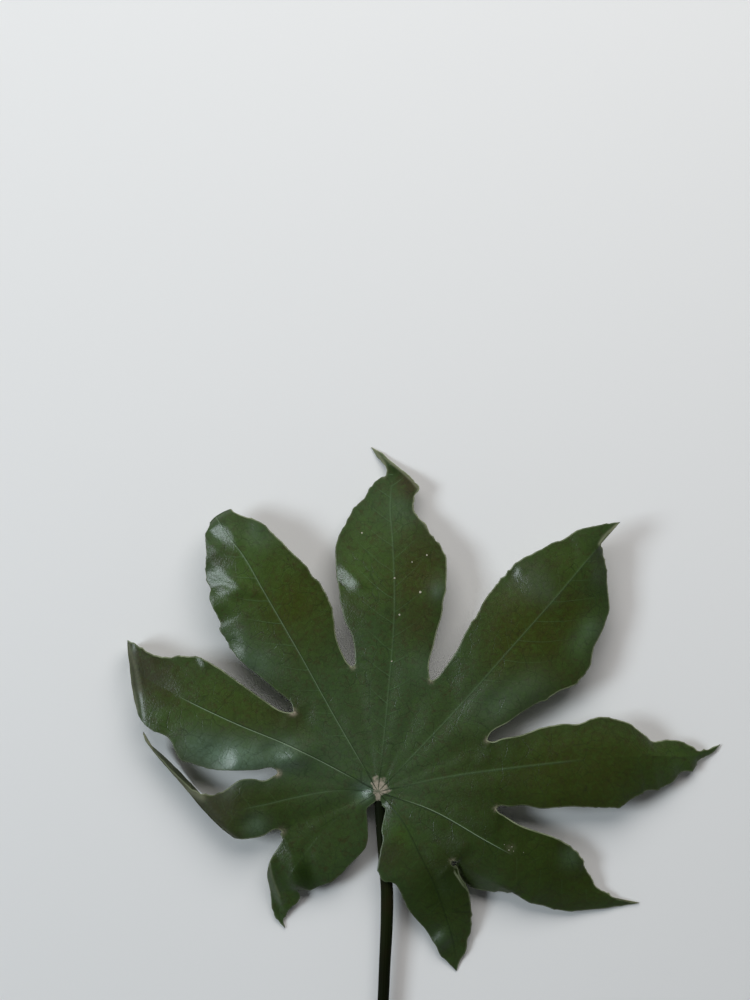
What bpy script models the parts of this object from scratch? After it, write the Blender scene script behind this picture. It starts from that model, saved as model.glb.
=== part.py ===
"""A preserved aralia leaf: a nine-lobed leathery blade grown on its stalk, lying upper side up.

Lobes and outlines are given in millimetres from the vein junction, where the stalk meets the blade:
x to the right, y towards the central lobe's tip, z above the surface that the leaf lies on.
The finished leaf is in metres, with its origin under the middle of its bounding box.
"""

import math

import bmesh
import bpy
from mathutils import Vector

MM = 0.001

# Driving dimensions, in millimetres
BLADE_THICKNESS = 0.7
VEIN_THICKNESS = 2.2
VEIN_HALF_WIDTH = 1.5
SWELL_THICKNESS = 3.0
SWELL_RADIUS = 7.0
JUNCTION_HEIGHT = 13.0
JUNCTION_OFFSET = (-19.15, 32.55)
NOTCH_RADIUS = 1.6
FREE_BLEND = 12.0

# How far the blade bulges up between midrib and margin, as a share of that width
PUFF = 0.05

# Stalk: points of its centre line, as (x, y, z, radius)
STALK = [
    (0.1, 3.0, 9.7, 1.9),
    (0.4, -3.0, 9.6, 2.2),
    (1.2, -17.4, 9.2, 2.1),
    (2.3, -30.1, 8.8, 2.3),
    (3.6, -43.0, 8.4, 2.6),
    (3.6, -53.4, 8.1, 2.6),
    (2.6, -76.7, 7.3, 2.4),
    (0.8, -120.0, 5.8, 2.4),
    (-1.4, -165.0, 4.3, 2.6),
    (-3.2, -210.0, 2.9, 2.9),
]
STALK_SIDES = 14
STALK_STEP = 9.0

# Mesh spacing, finer on the lobes whose ends roll under
ROW_STEP = 7.0
COLUMNS = 5
FINE_LOBES = ("lower_left", "left", "upper_left")
FINE_COLUMNS = 7
SPLINE_STEPS = 10

# Notch ends between the lobes, clockwise from the stalk: notch i comes before lobe i
NOTCHES = [
    (-0.6, -5.0, 12.4),
    (-41.0, -18.0, 12.5),
    (-42.6, 6.8, 15.4),
    (-36.2, 32.6, 16.6),
    (-11.0, 51.9, 17.8),
    (22.2, 46.0, 17.6),
    (46.0, 20.8, 17.4),
    (49.8, -8.3, 15.4),
    (31.1, -30.5, 13.0),
]

# Each lobe, clockwise from the stalk: its midrib from the junction to the tip, and its two margins from
# the notch outwards. Margin "before" faces the previous lobe, margin "after" the next one.
LOBES = [
    {
        "name": "basal_left",
        "rib": [(-20, -15, 13), (-29, -25, 12.5), (-37, -36, 10), (-41.5, -47, 5), (-39.7, -60.2, 0.3)],
        "before": [(-4.6, -8, 12.2), (-4.8, -15, 11.8), (-4.9, -23, 11.2), (-8.2, -28.4, 10.5),
                   (-20.5, -40, 8.2), (-28, -43.2, 6.5), (-34.2, -44.4, 5), (-36.2, -50.5, 3.8)],
        "after": [(-42.2, -24.5, 11), (-46.4, -31.7, 9), (-47.3, -37, 7.5), (-46, -45, 5),
                  (-44.9, -53, 2.5)],
    },
    {
        "name": "lower_left",
        "rib": [(-20.5, -1, 14), (-37, -4, 15), (-50, -7, 16), (-66, -9, 16), (-82, -3, 15), (-93, 9.5, 14),
                (-100.3, 23.6, 13)],
        "before": [(-49, -20, 13), (-58, -21.5, 13.5), (-70, -23, 14), (-83, -17, 14), (-95, -4, 14),
                   (-101.5, 10, 13.5)],
        "after": [(-49, 3, 15), (-58, 3, 15), (-66.5, -1.2, 15), (-74, -2.1, 15), (-81, 0.6, 14.8),
                  (-89.9, 8.2, 14.3), (-97.3, 15.6, 13.7)],
    },
    {
        "name": "left",
        "rib": [(-37, 18, 16.5), (-61, 28, 18.5), (-82, 38, 18), (-97, 46, 17), (-110, 53, 16.5),
                (-120, 59, 16)],
        "before": [(-52, 8.2, 15.4), (-62, 8, 15.6), (-73, 8.9, 15.8), (-84, 12.8, 16.6), (-88.3, 20.9, 17),
                   (-95.3, 24.7, 17), (-102.9, 32.2, 16.5), (-109, 41, 16), (-115, 50, 16)],
        "after": [(-49, 38, 17.4), (-61, 46.6, 18), (-67.2, 51, 17.8), (-75.7, 55.7, 17.5), (-89.5, 56, 17),
                  (-98.5, 58.4, 16.8), (-105.5, 62.3, 16.5)],
    },
    {
        "name": "upper_left",
        "rib": [(-20.5, 34, 17), (-32, 55, 20.5), (-49, 85, 22.5), (-57.4, 99.3, 22), (-67.4, 113, 19.6),
                (-77.5, 131.5, 18.5)],
        "before": [(-51.1, 48.5, 17.2), (-61, 58, 17.8), (-67.3, 71, 18.8), (-71.4, 84.5, 19.2),
                   (-73.1, 97, 19.8), (-73.2, 107.7, 18.6), (-74, 116.5, 17.8)],
        "after": [(-18.6, 66, 18), (-24, 86, 19.5), (-32, 96.5, 20), (-41, 104.5, 20), (-48.5, 111.8, 19.5),
                  (-57, 115.7, 19), (-64, 119.5, 18.5)],
    },
    {
        "name": "central",
        "rib": [(3.8, 37, 17), (6.8, 81, 19.5), (6.1, 103, 17.5), (5, 123, 11), (6, 134, 5.5),
                (-3.2, 145, 0.3)],
        "before": [(-12.9, 68, 18.5), (-17.2, 88, 17), (-18, 100, 15), (-12.5, 115, 12.5), (-6, 124, 9.5),
                   (2.6, 134, 5), (0.5, 140, 2.5)],
        "after": [(23.9, 59, 17), (27.3, 76, 17), (28.6, 91, 16), (26.9, 103, 14.5), (18.5, 112.5, 12),
                  (14.8, 120.5, 10.5), (17.1, 127, 9), (10, 135.5, 4.5), (2.8, 141.5, 2)],
    },
    {
        "name": "upper_right",
        "rib": [(35, 36, 18), (57, 61, 21), (79, 86, 21.5), (89, 98, 20), (102.3, 113.1, 18)],
        "before": [(35, 62.5, 19.5), (45, 79.5, 20.8), (53.2, 90.4, 20.9), (62, 98.3, 20.8),
                   (72.7, 103.9, 20.5), (84.1, 109.5, 20.5), (94.9, 112.1, 19.5)],
        "after": [(55, 28.4, 17), (68, 36.6, 16), (83.6, 44.6, 15), (90, 52.7, 14), (94.3, 65.5, 12),
                  (98, 76.5, 12), (96.8, 89.9, 13.4), (95.7, 97.3, 15.4), (93.8, 104.2, 17)],
    },
    {
        "name": "right",
        "rib": [(27, 4.7, 15.3), (66, 10.2, 19.2), (100, 13.5, 18), (120, 13.8, 12), (133, 13.2, 6),
                (145.7, 18.2, 0.3)],
        "before": [(58, 22.5, 18.1), (71, 26.5, 18.5), (85, 28.5, 18), (97, 30.2, 15.5), (107, 27, 13),
                   (115, 21.5, 10.5), (123, 20.3, 8), (130.5, 19.5, 5.5), (136.2, 15.9, 4), (140, 16.2, 2.5)],
        "after": [(60, -6.8, 15.5), (75, -7.8, 15.5), (91.7, -7.8, 14.5), (103, -7.8, 12), (110, -3.2, 10.5),
                  (122, 0, 7), (130, 6.5, 5), (135.5, 10.5, 3), (141, 13.8, 1.6)],
    },
    {
        "name": "lower_right",
        "rib": [(21.4, -8.5, 14), (47.5, -23, 15), (70.5, -35.2, 12), (94, -44.5, 4.5), (111.2, -48.7, 0.3)],
        "before": [(59.5, -13.6, 14), (70, -18.6, 13), (79, -22.7, 11.5), (86, -29, 8.5), (89, -36, 6.5),
                   (93, -42.4, 4.5), (102, -47, 1.5)],
        "after": [(33.6, -37.4, 10.7), (38.2, -43, 10), (47.2, -45, 9.4), (58.5, -45.8, 8.6),
                  (64.2, -49.2, 7.5), (78.8, -52.5, 4), (92, -51.7, 2), (103, -50, 0.8)],
    },
    {
        "name": "basal_right",
        "rib": [(10.8, -14.4, 13.5), (17.2, -27, 13), (24, -41, 11), (29, -55.5, 7), (32.4, -68.2, 2.5),
                (33.2, -78.3, 0.3)],
        "before": [(34.5, -37, 11.5), (37.8, -42.4, 10.5), (39.2, -48.5, 8.5), (39.5, -58, 5),
                   (37.5, -68.5, 2.5)],
        "after": [(2.6, -7.5, 13), (1.9, -19, 13.2), (0.9, -27, 13.2), (-0.2, -33.5, 13), (2.2, -39.4, 12.5),
                  (7.6, -41.6, 12), (13.9, -53, 8), (21, -61.8, 4.8), (27, -72.1, 1.8)],
    },
]

# Where a lobe's end or side rolls over: a point on the line where the roll starts, the compass of the rolled
# side in degrees from +x, the height of the line, the roll's radius and its largest angle in degrees
ROLLS = {
    "upper_left": ((-66.5, 111.9), 120.0, 19.5, 5.0, 115.0),
    "left": ((-100.4, 46.6), 187.0, 16.5, 5.0, 100.0),
    "lower_left": ((-77.0, 0.0), 222.4, 15.0, 4.0, 100.0),
    "lower_right": ((46.5, -37.5), 236.9, 12.0, 3.0, 22.0),
}


def smoothstep(value):
    value = min(max(value, 0.0), 1.0)
    return value * value * (3.0 - 2.0 * value)


def smooth_line(points):
    """A curve through the points, as a dense list in which they are every SPLINE_STEPS-th entry."""
    chords = [(b - a).length for a, b in zip(points, points[1:])]
    slopes = []
    for i, point in enumerate(points):
        if i == 0 or i == len(points) - 1:
            j = min(i, len(points) - 2)
            slopes.append((points[j + 1] - points[j]) / chords[j])
            continue
        before = (point - points[i - 1]) / chords[i - 1]
        after = (points[i + 1] - point) / chords[i]
        slopes.append((before * chords[i] + after * chords[i - 1]) / (chords[i - 1] + chords[i]))
    line = []
    for i, chord in enumerate(chords):
        for step in range(SPLINE_STEPS):
            t = step / SPLINE_STEPS
            line.append(
                points[i] * (2 * t**3 - 3 * t**2 + 1)
                + points[i + 1] * (3 * t**2 - 2 * t**3)
                + slopes[i] * chord * (t**3 - 2 * t**2 + t)
                + slopes[i + 1] * chord * (t**3 - t**2)
            )
    line.append(points[-1])
    return line


def points_along(line, shares):
    """Points at rising shares of the line's length."""
    lengths = [0.0]
    for a, b in zip(line, line[1:]):
        lengths.append(lengths[-1] + (b - a).length)
    found = []
    at = 0
    for share in shares:
        want = lengths[-1] * share
        while at < len(line) - 2 and lengths[at + 1] < want:
            at += 1
        part_way = (want - lengths[at]) / (lengths[at + 1] - lengths[at])
        found.append(line[at].lerp(line[at + 1], min(part_way, 1.0)))
    return found


def line_length(line):
    return sum((b - a).length for a, b in zip(line, line[1:]))


def junction():
    return Vector((0.0, 0.0, JUNCTION_HEIGHT))


def margins():
    """For each notch, the margins of the lobes before and after it, both from the notch outwards."""
    pairs = []
    for i, notch in enumerate(NOTCHES):
        end = Vector(notch)
        outward = Vector((end.x, end.y, 0.0)).normalized()
        across = Vector((-outward.y, outward.x, 0.0))
        previous = LOBES[i - 1]
        following = LOBES[i]
        towards_previous = [Vector(p) for p in previous["after"] + previous["rib"][-1:]]
        towards_following = [Vector(p) for p in following["before"] + following["rib"][-1:]]
        shoulder_a = end + outward * NOTCH_RADIUS + across * NOTCH_RADIUS
        shoulder_b = end + outward * NOTCH_RADIUS - across * NOTCH_RADIUS
        chain = towards_previous[::-1] + [shoulder_a, end, shoulder_b] + towards_following
        line = smooth_line(chain)
        middle = (len(towards_previous) + 1) * SPLINE_STEPS
        pairs.append((line[: middle + 1][::-1], line[middle:]))
    return pairs


def joined_rows(notch):
    """How many rows lie between the junction and the notch."""
    return max(1, round(Vector(notch[:2]).length / ROW_STEP))


def row_shares(rows, joined, fine):
    """The rows' places along the midrib, as shares of it. A fine lobe's free part has twice as many."""
    shares = [k / rows for k in range(joined)]
    step = 2 * rows if fine else rows
    first = joined * step // rows
    return shares + [k / step for k in range(first, step + 1)]


def edge_line(margin, joined, rows, shares):
    """One side of a lobe, row by row: the seam from the junction to the notch, then the free margin."""
    seam = [junction().lerp(margin[0], k / joined) for k in range(joined)]
    start = joined / rows
    return seam + points_along(margin, [(share - start) / (1.0 - start) for share in shares[joined:]])


def rolled(point, roll):
    """The point after the sheet beyond the roll's line has been wound round a cylinder under it."""
    start, compass, height, radius, largest = roll
    outward = Vector((math.cos(math.radians(compass)), math.sin(math.radians(compass)), 0.0))
    distance = (point - Vector((*start, 0.0))).dot(outward)
    if distance <= 0.0:
        return point
    angle = min(distance / radius, math.radians(largest))
    straight = distance - radius * angle
    lift = point.z - height
    reach = (radius + lift) * math.sin(angle) + straight * math.cos(angle)
    drop = radius * (1.0 - math.cos(angle)) + straight * math.sin(angle) - lift * (math.cos(angle) - 1.0)
    moved = point + outward * (reach - distance)
    moved.z = point.z - drop
    return moved


def row_height(rib, edge, share, free):
    """Height at a share of the way from the midrib to the edge. free is 0 where lobes are joined."""
    level = smoothstep(share) * (1.0 - free) + share * free
    width = (edge - rib).xy.length
    joined_puff = math.sin(math.pi * share) ** 2
    free_puff = 4.0 * share * (1.0 - share)
    puff = PUFF * width * (joined_puff * (1.0 - free) + free_puff * free)
    return rib.z + (edge.z - rib.z) * level + puff


def column_shares(width, columns):
    """Shares of a row's width: the midrib, the vein's side, then equal steps to the edge."""
    side = min(VEIN_HALF_WIDTH / max(width, VEIN_HALF_WIDTH), 1.0 / columns)
    return [0.0] + [side + (1.0 - side) * k / (columns - 1) for k in range(columns)]


def lobe_grids(index, pairs):
    """A lobe's two halves as rows of points from midrib to edge, and the rows' shares of its length."""
    lobe = LOBES[index]
    fine = lobe["name"] in FINE_LOBES
    columns = FINE_COLUMNS if fine else COLUMNS
    following = (index + 1) % len(LOBES)
    sides = [
        (joined_rows(NOTCHES[index]), pairs[index][1]),
        (joined_rows(NOTCHES[following]), pairs[following][0]),
    ]
    rib_line = smooth_line([junction()] + [Vector(p) for p in lobe["rib"]])
    rows = round(line_length(rib_line) / ROW_STEP)
    shares = row_shares(rows, max(sides[0][0], sides[1][0]), fine)
    ribs = points_along(rib_line, shares)
    halves = []
    for joined, margin in sides:
        half = []
        for along, rib, edge in zip(shares, ribs, edge_line(margin, joined, rows, shares)):
            free = smoothstep((along * rows - joined) * ROW_STEP / FREE_BLEND)
            row = []
            for share in column_shares((edge - rib).xy.length, columns):
                point = rib.lerp(edge, share)
                point.z = row_height(rib, edge, share, free)
                if lobe["name"] in ROLLS:
                    point = rolled(point, ROLLS[lobe["name"]])
                point.z = max(point.z, BLADE_THICKNESS)
                row.append(point)
            half.append(row)
        halves.append(half)
    return halves, shares


def in_place(point):
    """A point measured from the vein junction, in the leaf's own frame and in metres."""
    return Vector((point.x + JUNCTION_OFFSET[0], point.y + JUNCTION_OFFSET[1], point.z)) * MM


def thickness_at(point, along_vein):
    """The blade's thickness: a swelling under the junction and a ridge under each vein, lower to its tip."""
    swell = (SWELL_THICKNESS - BLADE_THICKNESS) * (1.0 - smoothstep(point.xy.length / SWELL_RADIUS))
    ridge = (VEIN_THICKNESS - BLADE_THICKNESS) * (1.0 - along_vein)
    return BLADE_THICKNESS + max(swell, ridge)


def add_sheet(sheet, half, shares, flip, known, thicknesses):
    """Faces between the rows of one half of a lobe. known keeps the vertices that halves share."""

    def vertex(k, column):
        point = half[k][column]
        key = tuple(round(c, 3) for c in point)
        if key not in known:
            known[key] = sheet.verts.new(in_place(point))
            thicknesses.append(thickness_at(point, shares[k] if column == 0 else 1.0))
        return known[key]

    for k in range(len(half) - 1):
        for column in range(len(half[k]) - 1):
            corners = [(k, column), (k + 1, column), (k + 1, column + 1), (k, column + 1)]
            verts = list(dict.fromkeys(vertex(*corner) for corner in corners))
            if flip:
                verts.reverse()
            sheet.faces.new(verts)


def blade_mesh():
    """The blade's upper side as one open sheet facing up, and the thickness at each of its vertices."""
    sheet = bmesh.new()
    known = {}
    thicknesses = []
    pairs = margins()
    for index in range(len(LOBES)):
        (before, after), shares = lobe_grids(index, pairs)
        add_sheet(sheet, before, shares, False, known, thicknesses)
        add_sheet(sheet, after, shares, True, known, thicknesses)
    sheet.normal_update()
    mesh = bpy.data.meshes.new("aralia_leaf")
    sheet.to_mesh(mesh)
    sheet.free()
    return mesh, thicknesses


def stalk_mesh():
    """The stalk as a closed tube with round sections, slimmer under the blade and cut flat at its foot."""
    centres = smooth_line([Vector(p[:3]) for p in STALK])
    radii = smooth_line([Vector((p[3], p[1], 0.0)) for p in STALK])
    count = round(line_length(centres) / STALK_STEP)
    places = points_along(centres, [k / count for k in range(count + 1)])
    tube = bmesh.new()
    rings = []
    for k, place in enumerate(places):
        ahead = places[min(k + 1, count)] - places[max(k - 1, 0)]
        side = ahead.cross(Vector((0.0, 0.0, 1.0))).normalized()
        up = side.cross(ahead).normalized()
        radius = min(radii, key=lambda r: abs(r.y - place.y)).x
        ring = []
        for n in range(STALK_SIDES):
            turn = 2.0 * math.pi * n / STALK_SIDES
            offset = side * math.cos(turn) + up * math.sin(turn)
            ring.append(tube.verts.new(in_place(place + offset * radius)))
        rings.append(ring)
    for near, far in zip(rings, rings[1:]):
        for n in range(STALK_SIDES):
            after = (n + 1) % STALK_SIDES
            tube.faces.new((near[n], far[n], far[after], near[after]))
    tube.faces.new(rings[0])
    tube.faces.new(rings[-1][::-1])
    bmesh.ops.recalc_face_normals(tube, faces=tube.faces[:])
    mesh = bpy.data.meshes.new("stalk_guide")
    tube.to_mesh(mesh)
    tube.free()
    return mesh


def leaf_material():
    """Dark green, leathery, half glossy."""
    material = bpy.data.materials.new("preserved_leaf")
    material.use_nodes = True
    shader = material.node_tree.nodes["Principled BSDF"]
    shader.inputs["Base Color"].default_value = (0.035, 0.065, 0.02, 1.0)
    shader.inputs["Roughness"].default_value = 0.42
    shader.inputs["Metallic"].default_value = 0.0
    return material


def add_object(name, mesh):
    added = bpy.data.objects.new(name, mesh)
    bpy.context.scene.collection.objects.link(added)
    return added


def add_thickness_group(leaf, thicknesses):
    """A vertex group that holds each vertex's thickness as a share of the greatest one."""
    group = leaf.vertex_groups.new(name="thickness")
    for i, thickness in enumerate(thicknesses):
        group.add([i], thickness / SWELL_THICKNESS, "REPLACE")


def build():
    for old in list(bpy.data.objects):
        bpy.data.objects.remove(old)
    mesh, thicknesses = blade_mesh()
    leaf = add_object("aralia_leaf", mesh)
    leaf.data.materials.append(leaf_material())
    leaf.data.shade_smooth()
    add_thickness_group(leaf, thicknesses)

    stalk = add_object("stalk_guide", stalk_mesh())
    stalk.hide_render = True
    stalk.display_type = "WIRE"

    thicken = leaf.modifiers.new("thickness", "SOLIDIFY")
    thicken.thickness = SWELL_THICKNESS * MM
    thicken.offset = -1.0
    thicken.vertex_group = "thickness"

    grown_on = leaf.modifiers.new("stalk", "BOOLEAN")
    grown_on.operation = "UNION"
    grown_on.solver = "EXACT"
    grown_on.object = stalk


build()
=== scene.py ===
"""The looks of the preserved aralia leaf: its blade and its stalk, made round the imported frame.

Lengths are in millimetres from the vein junction, where the stalk meets the blade, unless a line says
otherwise: x to the right, y towards the central lobe's tip, z above the surface that the leaf lies on.
"""

import math

import bpy
import numpy as np
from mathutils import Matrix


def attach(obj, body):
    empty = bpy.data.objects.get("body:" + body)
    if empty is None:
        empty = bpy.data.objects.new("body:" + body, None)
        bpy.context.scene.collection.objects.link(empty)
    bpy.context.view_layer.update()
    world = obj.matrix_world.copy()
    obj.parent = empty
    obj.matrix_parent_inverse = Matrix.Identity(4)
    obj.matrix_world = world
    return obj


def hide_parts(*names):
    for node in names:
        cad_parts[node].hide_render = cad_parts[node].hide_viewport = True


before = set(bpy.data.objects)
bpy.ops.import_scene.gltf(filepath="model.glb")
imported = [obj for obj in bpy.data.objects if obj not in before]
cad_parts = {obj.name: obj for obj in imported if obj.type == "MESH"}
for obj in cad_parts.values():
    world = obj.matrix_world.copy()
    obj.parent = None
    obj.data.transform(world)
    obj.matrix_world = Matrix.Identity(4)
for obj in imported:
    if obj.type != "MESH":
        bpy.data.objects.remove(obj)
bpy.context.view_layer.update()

MM = 0.001

# Where x = y = 0 lies in the leaf's own frame, and the point where the main veins meet
JUNCTION_OFFSET = (-19.15, 32.55)
JUNCTION = (-0.2, -1.3, 13.0)

# Mesh spacing. A row of half a lobe has points at set distances from the midrib and from the rim, with
# even steps between. Rows narrower than NARROW_ROW times those distances have even steps only, and both
# kinds blend up to WIDE_ROW times.
ROW_STEP = 1.1
COLUMNS = 20
RIB_COLUMNS = (0.0, 0.2, 0.45, 0.9, 1.8)
RIM_COLUMN = 0.45
NARROW_ROW = 1.5
WIDE_ROW = 3.5
SPLINE_STEPS = 12

# A point looks for its nearest margin among those whose middle is no farther away
MARGIN_SEARCH = 90.0

# The blade's section, how far from the rim it thins, and how round its notches are. Beyond a notch a lobe
# has its own bulged section, which comes in over the length FREE_BLEND.
BLADE_THICKNESS = 0.5
RIM_THICKNESS = 0.32
RIM_BULGE = 0.12
RIM_TAPER = 3.0
NOTCH_RADIUS = 1.6
FREE_BLEND = 12.0
PUFF = 0.02

# Least heights above the surface that the leaf lies on: of the upper side over the blade's thickness, of
# the underside and the stalk, and of the rim
TOP_CLEARANCE = 0.15
CLEARANCE = 0.02
RIM_CLEARANCE = 0.05

# Each main vein: a fine raised line in a shallow valley, and a ridge under it, all growing out of the
# junction. LINE_LEAST is the share of its height that a line keeps where it hardly shows. VEIN_FADE and
# VALLEY_END are shares of the midrib. The ridge's width is that at the tip and that at the junction,
# where it runs into a swelling.
LINE_HEIGHT = 0.10
LINE_WIDTH = 0.24
LINE_LEAST = 0.3
LINE_START = 3.0
LINE_RISE = 6.0
VEIN_FADE = 0.1
VALLEY_DEPTH = 0.35
VALLEY_WIDTH = 3.2
VALLEY_START = 10.0
VALLEY_RISE = 35.0
VALLEY_END = 0.75
RIDGE_HEIGHT = 1.5
RIDGE_WIDTHS = (0.5, 1.3)
RIDGE_POWER = 1.2
RIDGE_TAPER = 1.5
SWELL_HEIGHT = 2.4
SWELL_RADIUS = 7.0

# Side veins: their spacing along the midrib, how far they slant and bend forward, the share of the spacing
# that is left across the slant, and the bulge between them with the length over which it grows
SIDE_SPACING = 11.0
SIDE_SLANT = 0.6
SIDE_BEND = 0.011
SIDE_SHARE = 0.85
QUILT_HEIGHT = 0.09
QUILT_POWER = 0.8
QUILT_RISE = 25.0

# Teeth of the margins: spacing and height of the large and of the fine ones, where along its spacing a
# tooth peaks, and the share of its height that lies inside the outline. Their size swings along the
# margin, and their places wander: each wander has a share of the spacing, a rate and a shift. A margin
# stays bare at the notch and at the tip.
TEETH = ((8.5, 0.75), (3.7, 0.35))
TOOTH_PEAK = 0.8
TOOTH_INSIDE = 0.33
TOOTH_SWING = 0.35
SWING_LENGTH = 13.0
SWING_SHIFT = 3.0
WANDERS = ((0.4, 1.0, 1.0), (0.3, 2.1, 2.0))
TOOTH_RISE = 15.0
BARE_START = 18.0
BARE_END = 8.0

# Gentle waves of the whole sheet: height, length, and a number that sets their pattern. Each is the sum
# of WAVES waves, and each of these is turned, stretched and shifted against the one before.
RIPPLES = ((0.35, 70.0, 1.0), (0.12, 27.0, 2.0), (0.03, 9.0, 3.0))
WAVES = 5
WAVE_TURN = 2.4
SHORTEST_WAVE = 0.8
WAVE_STRETCH = 0.12
WAVE_SHIFT = 1.7

# Notch ends between the lobes, clockwise from the stalk: notch i comes before lobe i
NOTCHES = [
    (-0.6, -5, 12.4), (-41, -18, 12.5), (-42.6, 6.8, 15.4), (-36.2, 32.6, 16.6), (-11, 51.9, 17.8),
    (22.2, 46, 17.6), (46, 20.8, 17.2), (49.8, -8.3, 15.4), (31.1, -30.5, 13),
]

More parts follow.
